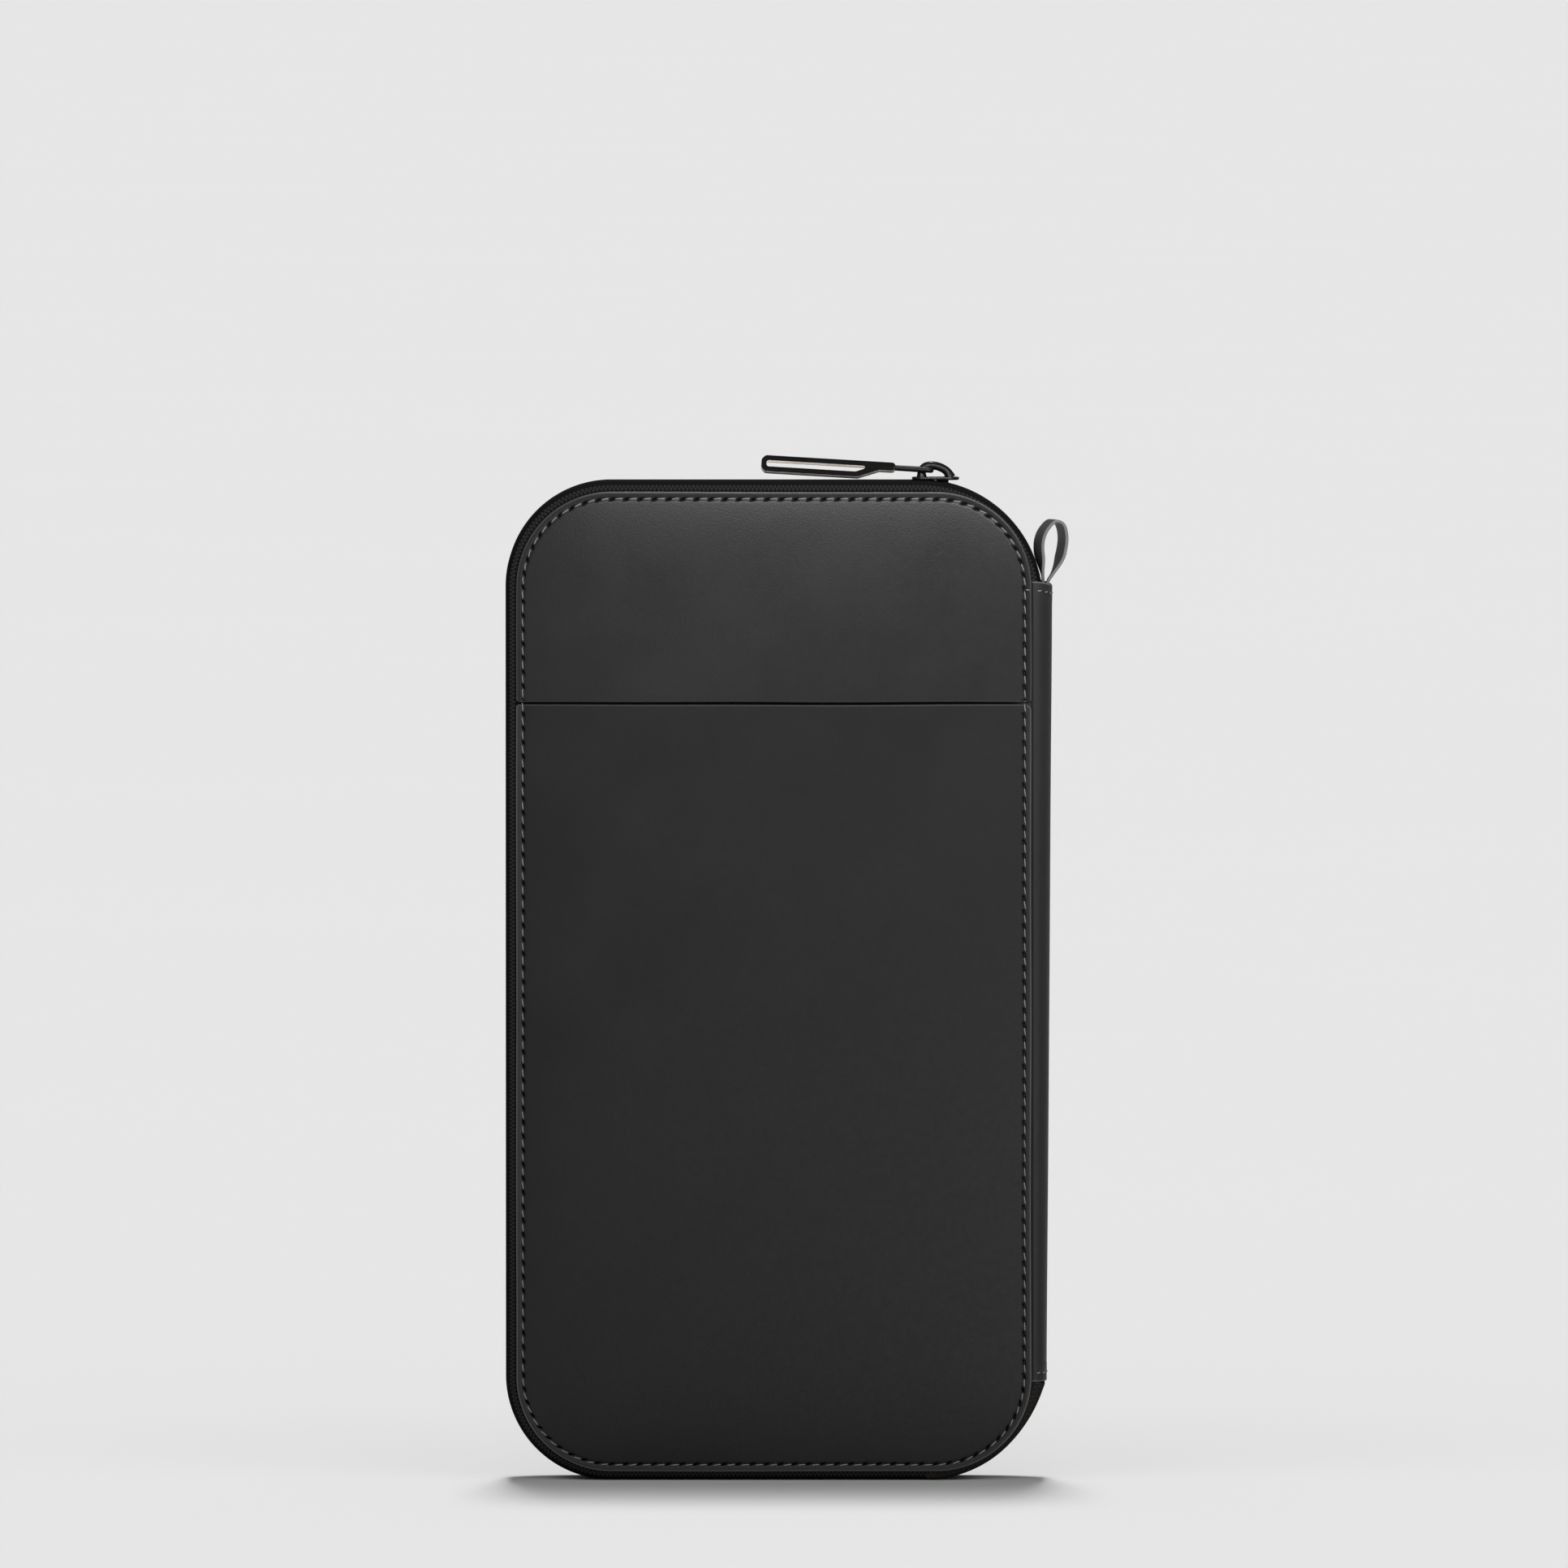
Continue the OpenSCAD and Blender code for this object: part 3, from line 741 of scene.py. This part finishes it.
def band_section(lip, rows, fullness):
    """The band's closed section as outward distance and depth, with how much each point
    takes part in the woven rows beside the leather. Fullness under 1 squares its turn."""
    angles = np.radians([90, *range(86, 55, -3), 50, 42, 32, 20, 8, 0])
    outer = [(-5, UNDER), (-2, UNDER), (-0.5, UNDER)]
    outer += [(BAND_RISE * math.cos(a) ** fullness, TURN_DEPTH + BAND_RISE * math.sin(a) ** fullness)
              for a in angles[1:-1]]
    outer += [(BAND_RISE, d) for d in (TURN_DEPTH, 5, 3.5, 2.2, 1.2, lip + 0.25)]
    rim = BAND_RISE - BAND_WALL
    outer += [(BAND_RISE - 0.12, lip + 0.05), (rim + 0.12, lip + 0.05)]
    inner = [(rim, lip + 0.25), (rim, 3), (rim, TURN_DEPTH)]
    inner += [(rim * math.cos(a), TURN_DEPTH + rim * math.sin(a)) for a in np.radians([25, 50, 75, 90])]
    inner += [(-2, TAPE_DEPTH), (-5, TAPE_DEPTH)]
    section = np.array(outer + inner)
    weight = np.zeros((len(rows), len(section)))
    for k, degrees in enumerate(rows):
        a = math.radians(degrees)
        where = np.array([(BAND_RISE * math.cos(a), TURN_DEPTH + BAND_RISE * math.sin(a))])
        weight[k, :len(outer)] = bell(np.linalg.norm(section[:len(outer)] - where, axis=1), 0.34)
    return section, weight


def band(name, way, side, body, material, lip, rows, row_height, row_pitch, fullness=1.0):
    """Woven tape sewn under the leather's edge, which turns out and over towards the middle."""
    points, ways, s = way
    section, weight = band_section(lip, rows, fullness)
    facing = section - np.array([0, TURN_DEPTH])
    facing /= np.linalg.norm(facing, axis=1)[:, None]
    raised = np.zeros((len(s), len(section)))
    for k in range(len(rows)):
        wave = 0.5 + 0.5 * np.cos(2 * math.pi * (s / row_pitch + k * 0.5))
        raised += row_height * wave[:, None] * weight[k][None]
    u = section[None, :, 0] + raised * facing[None, :, 0]
    d = section[None, :, 1] + raised * facing[None, :, 1]
    x = points[:, None, 0] + u * ways[:, None, 0]
    z = points[:, None, 1] + u * ways[:, None, 1]
    verts = np.stack([x, side * d, z], 2).reshape(-1, 3)
    m, n = len(section), len(s)
    across = np.concatenate([[0], np.cumsum(np.linalg.norm(np.diff(section, axis=0), axis=1))])
    tags = {"along": np.repeat(s, m), "across": np.tile(across, n), "row": (raised / row_height).ravel()}
    return make_object(name, verts, swept_faces(m, n), [material], body, tags=tags)


def coil(name, node, side, body):
    """One row of the zip's coil: a flattened spiral of nylon sewn along the tape's edge."""
    points, ways, s = chain_route(False)
    turns = round(s[-1] / COIL_PITCH)
    steps = 12
    marks = np.linspace(0.3, s[-1] - 0.3, turns * steps)
    a = np.arange(len(marks)) * 2 * math.pi / steps
    x, z, wx, wz = (np.interp(marks, s, row) for row in (*points.T, *ways.T))
    u = BAND_RISE - BAND_WALL - 0.52 + 0.28 * np.cos(a)
    d = 1.5 + 1.12 * np.sin(a)
    path = np.stack([x + u * wx, side * d, z + u * wz], 1)
    along = np.stack([-wz, np.zeros(len(marks)), wx], 1)
    verts, faces = tube(path, 0.21, 5, up=along)
    piece = make_object(name, verts, faces, [NYLON], body)
    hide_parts(node)


def block(name, low, high, material, body, round_by):
    """A small rounded metal block between two corners."""
    verts = list(itertools.product(*zip(low, high)))
    faces = [(0, 1, 3, 2), (4, 6, 7, 5), (0, 4, 5, 1), (2, 3, 7, 6), (0, 2, 6, 4), (1, 5, 7, 3)]
    return bevelled(make_object(name, verts, faces, [material], body), round_by)


def stops(label, body):
    """A clamped metal stop at each end of the coil."""
    low, high = node_box(label + "_zip_stops")
    length, tall = 1.6, 0.9
    for end, x, z in (("upper", TOP_BEND[0], high[2] - tall), ("lower", LOW_BEND[0], low[2])):
        piece = block(f"{label}_stop_{end}", (x, low[1], z), (x + length, high[1], z + tall),
                      STOP_METAL, body, 0.28)
        if end == "upper":
            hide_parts(label + "_zip_stops")


def make_zip():
    for label, side in SIDES.items():
        body = label + "_cover"
        tape = band(label + "_tape", chain_route(True), side, body, TAPE, 0.2, (80, 64), 0.26, 1.0)
        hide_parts(label + "_zip_tape")
        tab = band(label + "_tab", tab_route(), side, body, TAB, 0.85, (80, 60), 0.1, 1.2, 0.6)
        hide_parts(label + "_corner_tab")
        coil(label + "_coil_turns", label + "_zip_coil", side, body)
        stops(label, body)


# ---- spine and pull loop ----

SPINE_X0 = spine_low[0]
SPINE_X1 = spine_high[0]
SPINE_R = SPINE_X1 - SPINE_X0
SPINE_D = -spine_low[1]
SPINE_FLAT = SPINE_D - SPINE_R
HEM_IN = 2.1
SPINE_TAPER = 0.29
SPINE_PUFF = 0.15
MARGIN_X = RIGHT - 4.8
MARGIN_D = UNDER - 0.03


def spine_curve(inset, with_margin):
    """The spine's section in x and depth, from the cover's edge round to the middle."""
    r = SPINE_R - inset
    points = []
    if with_margin:
        thin = MARGIN_D - 0.5 * min(1, inset)
        top = SPINE_FLAT + r + SPINE_PUFF
        points += [(x, thin) for x in (MARGIN_X, RIGHT - 2.3, RIGHT - 1.2, RIGHT - 0.7, RIGHT - 0.4)]
        wall = ((-0.28, 0.1), (-0.16, 0.55), (0.05, 0.9))
        points += [(RIGHT + x, thin + share * (top - thin)) for x, share in wall]
    points += [(SPINE_X0 + r * math.sin(a), SPINE_FLAT + (r + SPINE_PUFF) * math.cos(a))
               for a in np.radians(np.arange(0, 91, 7.5))]
    points += [(SPINE_X0 + r, d) for d in (3.2, 1.6, 0)]
    return np.array(points)


def spine_rows():
    ends = [0, 0.06, 0.2, 0.45, 0.9, 1.3, *np.arange(1.6, 2.7, 0.25), 2.9, 3.4, 3.9, 4.3, 4.5, 4.7,
            5.1, 6, 8]
    low = [SPINE_LOW + e for e in ends]
    high = [SPINE_TOP - e for e in ends[::-1]]
    return np.array(low + list(np.linspace(SPINE_LOW + 12, SPINE_TOP - 12, 48)) + high)


def tapered(x, d, z):
    """Narrows the spine towards its foot."""
    t = (z - SPINE_LOW) / (SPINE_TOP - SPINE_LOW)
    return x - SPINE_TAPER * (1 - t) * np.maximum(x - SPINE_X0, 0), d, z


def spine_shape(x, d, z):
    """Tapers the spine, thickens the hems and bows the upper edge."""
    out = np.maximum(x - SPINE_X0, 0)
    bow = 1.0 * (out / SPINE_R) ** 2 * smooth((z - SPINE_TOP + 12) / 12)
    from_end = np.minimum(z - SPINE_LOW, SPINE_TOP - z)
    hem = 0.04 * smooth((4.6 - from_end) / 0.35) - 0.16 * smooth((0.3 - from_end) / 0.3) ** 2
    hem = hem - 0.12 * bell(from_end - HEM_IN, 0.35)
    soft = 0.05 * ripple(z, d, 41, 45)
    return tapered(x, d, z)[0] + np.clip(out, 0, 1) * (hem + soft), d, z - bow


def sheet_loop(name, outer, inner, side, body, material, rows, shape):
    """A closed sheet swept in z between an outer and an inner section."""
    section = np.vstack([outer, inner[::-1]])
    m, n = len(section), len(rows)
    x, d, z = np.tile(section[:, 0], n), np.tile(section[:, 1], n), np.repeat(rows, m)
    outer_point = np.tile(np.arange(m) < len(outer), n)
    sx, sd, sz = shape(x, d, z)
    x = np.where(outer_point, sx, np.minimum(sx, x))
    verts = np.stack([x, side * sd, sz], 1)
    from_end = np.minimum(z - rows[0], rows[-1] - z)
    # the sheet's ends carry edge paint with a painted highlight
    tags = {"edge": np.clip(1 - from_end / 0.25, 0, 1)}
    return make_object(name, verts, swept_faces(m, n), [material], body, tags=tags)


def make_spine():
    """The spine as two half sheets, front and back, that meet in its middle."""
    rows = spine_rows()
    outer = spine_curve(0, True)
    inner = spine_curve(0.95, True)
    for label, side in SIDES.items():
        half = sheet_loop(label + "_spine_half", outer, inner, side, None, SPINE_LEATHER, rows,
                          spine_shape)
        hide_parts(label + "_spine_margin", "spine_leather")
        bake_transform(half)
    make_spine_lining()
    make_hem_stitches()


def make_spine_lining():
    low, high = node_box("spine_lining")
    rows = np.linspace(low[2], high[2], 60)
    outer = spine_curve(1.02, False)
    inner = spine_curve(1.4, False)
    outer, inner = [np.vstack([half, half[::-1][1:] * (1, -1)]) for half in (outer, inner)]
    lining = sheet_loop("spine_lining_cloth", outer, inner, -1, "spine", LINING, rows, tapered)
    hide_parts("spine_lining")


def make_hem_stitches():
    """A row of stitches along each hem, round the spine from cover to cover."""
    half = spine_curve(0, False)
    section = np.vstack([half * (1, -1), half[::-1][1:]])[1:-1]
    ways = np.gradient(section, axis=0)
    ways /= np.linalg.norm(ways, axis=1)[:, None]
    for label, z in (("upper", SPINE_TOP - HEM_IN), ("lower", SPINE_LOW + HEM_IN)):
        path = np.stack(spine_shape(*section.T, np.full(len(section), z)), 1)
        facing = np.stack([ways[:, 1], -ways[:, 0], np.zeros(len(ways))], 1)
        row = stitches(label + "_hem_seam", path, facing, "spine", pitch=2.1, closed=False, seed=51,
                       size=0.17)
        if label == "upper":
            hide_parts("spine_hem_threads")


def make_loop():
    """A strap bent into a teardrop, turned a little so that its inner face shows."""
    x0, z0 = SPINE_X1 - 2.5, SPINE_TOP
    bends = [(0.15, -7.6), (0.1, -3), (0.3, 0.2), (-0.2, 4), (-0.7, 7.4), (-0.5, 10.2), (0.6, 12.7),
             (2.6, 14.6), (4.5, 13.7), (5.2, 10.8), (4.9, 7.6), (4, 4.4), (2.6, 1.6), (1.5, -0.3),
             (0.95, -3.2), (0.85, -7.6)]
    flat = curve_through([(x0 + a, z0 + b) for a, b in bends], 150)
    way = np.gradient(flat, axis=0)
    way /= np.linalg.norm(way, axis=1)[:, None]
    facing = np.stack([-way[:, 1], way[:, 0]], 1)
    half, thick = 3.2, 0.36
    rim = [(1, 0.6), (0.985, 0.95), (0.93, 1), (0.8, 0.93), (0.72, 1)]
    profile = [(-w, t) for w, t in rim] + [(0, 1.03)] + rim[::-1]
    profile += [(w, -t) for w, t in profile[::-1]]
    # painted marks the strap's edges, which carry edge paint with a painted highlight
    verts, painted = [], []
    for (x, z), (nx, nz) in zip(flat, facing):
        turn = math.radians(18) * smooth((z - SPINE_TOP - 0.5) / 6)
        for w, t in profile:
            lateral = w * half * math.sin(turn)
            verts.append((x - lateral + t * thick * nx, w * half * math.cos(turn), z + t * thick * nz))
            painted.append(float(abs(w) > 0.9))
    loop = make_object("loop_strap", verts, swept_faces(len(profile), len(flat)), [LOOP_LEATHER], "spine",
                       tags={"edge": painted})
    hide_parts("pull_loop")


# ---- slider, bridge, link and puller ----

PIVOT = np.array([35.5, 0, 247.9])
TILT = math.radians(3.4)
ROLL = math.radians(-16)


def placed(points):
    """From the puller's own frame, where it lies along -x, to the organizer's."""
    p = np.asarray(points, float)
    x = p[:, 0] * math.cos(TILT) + p[:, 2] * math.sin(TILT)
    z = p[:, 2] * math.cos(TILT) - p[:, 0] * math.sin(TILT)
    return np.stack([x, p[:, 1], z], 1) + PIVOT


def slider_plate(name, x0, x1, half, z0, z1, round_by):
    """A rounded plate of the zip slider, a little narrower at its left end."""
    radius, squeeze = 2.4, 0.86
    rim = []
    for side_x, side_y, start in ((1, -1, 270), (1, 1, 0), (-1, 1, 90), (-1, -1, 180)):
        cx = x1 - radius if side_x > 0 else x0 + radius
        for a in np.radians(np.linspace(start, start + 90, 8)):
            x = cx + radius * math.cos(a)
            narrow = 1 - (1 - squeeze) * (x1 - x) / (x1 - x0)
            rim.append((x, (side_y * (half - radius) + radius * math.sin(a)) * narrow))
    verts = [(x, y, z) for z in (z0, z1) for x, y in rim]
    plain = make_object(name, verts, swept_faces(len(rim), 2), [ZIP_METAL], "zip_slider")
    return bevelled(plain, round_by, 50)


def make_slider():
    """An outer plate, an inner plate, the post between them and the bridge's arch."""
    x0, _, z0 = slider_low
    x1, y1, z1 = slider_high
    parts = [
        slider_plate("slider_top", x0, x1, y1, z1 - 0.9, z1 - 0.25, 0.25),
        slider_plate("slider_low", x0, x1 - 2.1, y1, z0, z0 + 0.8, 0.22),
        block("slider_post", (x0 + 6, -0.1, z0 + 0.5), (x0 + 9, 0.1, z1 - 0.5), ZIP_METAL,
              "zip_slider", 0.1),
    ]
    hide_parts("slider_body")
    foot = z1 - 0.45
    left, right = bridge_low[0] + 0.6, bridge_high[0] - 0.45
    rise = bridge_high[2] - 1.1 - foot
    arch = [(left - 0.3, 0), (left - 0.25, 0.5), (left + 0.5, 0.86), (left + 2.2, 0.98),
            (left + 4.2, 0.84), (left + 5.9, 0.5), (right, 0)]
    path = curve_through([(x, 0, foot + share * rise) for x, share in arch], 40)
    t = np.linspace(0, 1, 40)
    girth = 1.02 + 0.25 * bell(t, 0.09) + 0.35 * bell(t - 1, 0.1)
    verts, faces = tube(path, girth, 16, squash=0.8)
    bridge = make_object("bridge_arch", verts, faces, [ZIP_METAL], "zip_slider")
    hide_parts("slider_bridge")


def make_link():
    """A wire bent back on itself, round the bridge and into the puller."""
    leg = [(-11.6, 0.45), (-9.4, 0.55), (-5, 1.26), (-1.3, 1.9), (-0.35, 1.85), (0, 1.35)]
    route_xy = [(x, -y) for x, y in leg] + [(0, 0)] + leg[::-1]
    path = curve_through([(x, y, 0) for x, y in route_xy], 90)
    verts, faces = tube(path, 0.68, 14, up=(0, 0, 1))
    link = make_object("link_wire", placed(verts), faces, [WIRE_METAL], "puller")
    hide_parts("puller_link")


def make_puller():
    """A slotted frame with a painted face, walls lighter than it and coloured near white as painted
    light, and a collar round the link's ends.
    """
    collar_x, top, low = -8.8, 1.05, -3.05
    tip, body_x, nose, rim = -41.7, -17.9, 1.0, 1.3
    half = 1.2
    outer = [(collar_x, top), (collar_x, -top), (collar_x - 3.9, -top), (body_x, low), (tip + nose, low),
             (tip, low + nose), (tip, top - nose), (tip + nose, top)]
    slot = [(tip + rim, top - rim), (body_x + 1.6, top - rim), (body_x + 1.6, -0.9),
            (body_x - 0.6, low + rim), (tip + rim, low + rim)]
    curve = bpy.data.curves.new("puller_outline", "CURVE")
    curve.dimensions = "2D"
    curve.fill_mode = "BOTH"
    edge = 0.12
    curve.extrude = (half - edge) * MM
    curve.bevel_depth = edge * MM
    curve.bevel_resolution = 2
    curve.offset = -edge * MM
    for loop, radius in ((outer, 1.1), (slot, 0.85)):
        points = filleted(loop, radius)
        spline = curve.splines.new("POLY")
        spline.points.add(len(points) - 1)
        for point, (x, z) in zip(spline.points, points):
            point.co = (x * MM, z * MM, 0, 1)
        spline.use_cyclic_u = True
    stand_in = bpy.data.objects.new("puller_outline", curve)
    bpy.context.scene.collection.objects.link(stand_in)
    mesh = evaluated_mesh(stand_in)
    bpy.data.objects.remove(stand_in)
    flat = np.array([v.co for v in mesh.vertices]) / MM
    # the curve's plane becomes the puller's x and z, and its thickness runs along y
    y, z = -flat[:, 2], flat[:, 1]
    rolled = np.stack([flat[:, 0], y * math.cos(ROLL) - z * math.sin(ROLL),
                       y * math.sin(ROLL) + z * math.cos(ROLL)], 1)
    faces = [tuple(p.vertices) for p in mesh.polygons]
    walls = [int(abs(p.normal.z) < 0.35) for p in mesh.polygons]
    puller = make_object("puller_slotted", placed(rolled), faces, [PULLER_METAL, LIT_WALL_METAL], "puller",
                         pick=walls, weld=0.005)
    bpy.data.meshes.remove(mesh)
    split_sharp(puller)
    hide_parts("puller_frame")


def split_sharp(obj):
    """Keeps flat faces flat where they meet at more than 40 degrees."""
    bm = bmesh.new()
    bm.from_mesh(obj.data)
    for edge in bm.edges:
        edge.smooth = edge.calc_face_angle(0) < math.radians(40)
    bm.to_mesh(obj.data)
    bm.free()


def filleted(loop, radius):
    """A polygon with its corners rounded, as points."""
    out = []
    n = len(loop)
    for k in range(n):
        before, here, after = (np.array(loop[(k + i) % n], float) for i in (-1, 0, 1))
        a, b = before - here, after - here
        la, lb = np.linalg.norm(a), np.linalg.norm(b)
        a, b = a / la, b / lb
        angle = math.acos(max(-1, min(1, float(a @ b))))
        back = min(radius / math.tan(angle / 2), la * 0.45, lb * 0.45)
        start, stop = here + a * back, here + b * back
        for t in np.linspace(0, 1, 7):
            out.append(tuple((1 - t) ** 2 * start + 2 * t * (1 - t) * here + t ** 2 * stop))
    return out


# ---- camera, floor and light ----

PHOTO_SPAN = 384.5
CAMERA_FAR = 6000
CAMERA_RISE = 2.6
AIM = Vector((-0.6, -FACE, 171.2))


def make_camera():
    """A long lens, nearly level with the organizer and square to its front."""
    data = bpy.data.cameras.new("camera")
    data.sensor_width = 36
    data.lens = data.sensor_width * CAMERA_FAR / PHOTO_SPAN
    data.clip_end = 100
    camera = bpy.data.objects.new("camera", data)
    rise = math.radians(CAMERA_RISE)
    camera.location = (AIM + Vector((0, -math.cos(rise), math.sin(rise))) * CAMERA_FAR) * MM
    camera.rotation_euler = (math.pi / 2 - rise, 0, 0)
    bpy.context.scene.collection.objects.link(camera)
    bpy.context.scene.camera = camera


FLOOR_TONE = 0.8
FLOOR_HALF = 60
SKY_GLOW = 0.125
SKY_SEEN = 0.79


def make_floor():
    """A plain pale floor that reaches past the top of the view."""
    m = Nodes("studio_floor")
    speckle = m.noise(400, 2.0)
    m.set(Base_Color=m.mix(speckle, (FLOOR_TONE - 0.004,) * 3 + (1,), (FLOOR_TONE + 0.004,) * 3 + (1,)))
    m.set(Roughness=0.95, Specular_IOR_Level=0.0)
    mesh = bpy.data.meshes.new("floor")
    h = FLOOR_HALF
    mesh.from_pydata([(-h, -h, 0), (h, -h, 0), (h, h, 0), (-h, h, 0)], [], [(0, 1, 2, 3)])
    mesh.materials.append(m.material)
    floor = bpy.data.objects.new("floor", mesh)
    bpy.context.scene.collection.objects.link(floor)
    return floor


def make_world():
    """Even studio light from everywhere, and a pale backdrop for the camera to see."""
    world = bpy.data.worlds.new("studio")
    bpy.context.scene.world = world
    world.use_nodes = True
    tree = world.node_tree
    tree.nodes.clear()
    path = tree.nodes.new("ShaderNodeLightPath")
    mix = tree.nodes.new("ShaderNodeMixShader")
    tree.links.new(path.outputs["Is Camera Ray"], mix.inputs[0])
    for k, level in enumerate((SKY_GLOW, SKY_SEEN)):
        glow = tree.nodes.new("ShaderNodeBackground")
        glow.inputs["Color"].default_value = (level, level, level, 1)
        tree.links.new(glow.outputs[0], mix.inputs[k + 1])
    output = tree.nodes.new("ShaderNodeOutputWorld")
    tree.links.new(mix.outputs[0], output.inputs["Surface"])


def aimed(name, data, place, target):
    """Puts a lamp at a place, in millimetres, facing a target."""
    lamp = bpy.data.objects.new(name, data)
    lamp.location = Vector(place) * MM
    lamp.rotation_euler = (Vector(target) - Vector(place)).to_track_quat("-Z", "Y").to_euler()
    bpy.context.scene.collection.objects.link(lamp)
    return lamp


def make_suns(name, light, rises, turns, spread):
    """A large soft light as several suns, which together light the floor evenly. Rises are above
    the horizon and turns are away from the camera's side, both in degrees."""
    places = [(math.radians(rise), math.radians(turn)) for rise in rises for turn in turns]
    for k, (rise, turn) in enumerate(places):
        data = bpy.data.lights.new(f"{name}_{k + 1}", "SUN")
        data.energy = light / len(places) / math.sin(rise)
        data.angle = math.radians(spread)
        out = 1000 * math.cos(rise)
        place = (out * math.sin(turn), -out * math.cos(turn), 1000 * math.sin(rise))
        aimed(f"{name}_{k + 1}", data, place, (0, 0, 0))


def make_softbox(name, place, target, size, power, floor):
    """A soft lamp near the organizer that leaves the floor as it is."""
    data = bpy.data.lights.new(name, "AREA")
    data.shape = "RECTANGLE"
    data.size, data.size_y = size[0] * MM, size[1] * MM
    data.energy = power
    lamp = aimed(name, data, place, target)
    spared = bpy.data.collections.new(name + "_spares")
    spared.objects.link(floor)
    spared.collection_objects[0].light_linking.link_state = "EXCLUDE"
    lamp.light_linking.receiver_collection = spared


make_camera()
studio_floor = make_floor()
make_world()
make_suns("back_sun", light=2.18, rises=(83.5, 78.5, 75.5, 72.5, 69), turns=(180,), spread=8)
make_suns("front_sun", light=0.54, rises=(38,), turns=(-60, -20, 20, 60), spread=40)
make_softbox("top_softbox", (45, -195, 302), (25, 0, 238), (200, 60), 0.44, studio_floor)
make_softbox("low_softbox", (140, -420, 45), (20, 0, 30), (300, 110), 0.29, studio_floor)
bpy.context.scene.view_settings.view_transform = "Standard"


# ---- linings and pockets inside the covers ----

POCKET_SEAM = 0.28


def lining_sheet(name, node, label, lift=None):
    """Cloth glued flat over a cover's board, round at its corners like the cover."""
    low, high = node_box(node)
    near, far = sorted((abs(low[1]), abs(high[1])))
    cloth = plate(name, (low[0], low[2], high[0], high[2]), (CORNER - low[0] + LEFT,) * 4, near, far,
                  label, LINING, lift)
    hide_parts(node)


def make_linings():
    for label in SIDES:
        lining_sheet(label + "_lining_cloth", label + "_lining", label,
                     lambda x, z: 0.03 * ripple(x, z, 61, 40))
    lining_sheet("pocket_backing_cloth", "front_pocket_backing", "front")


def sewn_pocket(name, rect, near, label, seed):
    """A leather pocket sewn down at its sides and foot, whose mouth stands open a little."""
    x0, z0, x1, z1 = rect
    side, thick, inner = SIDES[label], 0.5, 1.6

    def lift(x, z):
        from_seam = np.minimum(np.minimum(x - x0, x1 - x), z - z0)
        sewn = POCKET_SEAM * (1 - smooth((from_seam - 2.4) / 3))
        across = np.clip((x - x0) / (x1 - x0), 0, 1)
        gape = min(0.3, 0.006 * (z1 - z0)) * np.sin(math.pi * across) * smooth((z - z1 + 30) / 30)
        hem = 0.12 * smooth((z - z1 + 4.2) / 0.5)
        groove = 0.12 * bell(from_seam - inner, 0.4)
        return sewn - gape - hem + groove + 0.03 * ripple(x, z, seed, 35)

    pocket = plate(name, rect, (2.5, 0.8, 0.8, 2.5), near, near + thick, label, INNER_LEATHER, lift,
                   step=1.6)
    on_face = side * (near + POCKET_SEAM - 0.02)
    foot, mouth = z0 + inner, z1 - 0.8
    line = [(x0 + inner, mouth), (x0 + inner, foot), (x1 - inner, foot), (x1 - inner, mouth)]
    stitches(name + "_seam", [(x, on_face, z) for x, z in line], (0, -side, 0), label + "_cover",
             pitch=3.0, closed=False, seed=seed, size=0.24, dip=0.3)
    return pocket


def make_pockets():
    for name, node, label in (("sleeve_sheet", "document_sleeve", "back"),
                              ("passport_sheet", "passport_pocket", "back"),
                              ("ticket_sheet", "ticket_pocket", "front")):
        low, high = node_box(node)
        near = min(abs(low[1]), abs(high[1]))
        pocket = sewn_pocket(name, (low[0], low[2], high[0], high[2]), near, label, 71 + len(name))
        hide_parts(node)
    low, high = node_box("card_slots")
    rows, gap = 4, 0.5
    pitch = (high[2] - low[2] + gap) / rows
    for row in range(rows):
        z0 = low[2] + row * pitch
        rect = (low[0], z0, high[0], z0 + pitch - gap)
        slot = sewn_pocket(f"card_slot_{row + 1}", rect, -high[1], "front", 91 + row)
        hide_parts("card_slots")


def finish_boards():
    for label in SIDES:
        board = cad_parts[label + "_board"]
        board.data.materials.clear()
        board.data.materials.append(SHADED_BOARD)


make_covers()
make_seams()
make_zip()
make_spine()
make_loop()
make_slider()
make_link()
make_puller()
make_linings()
make_pockets()
finish_boards()
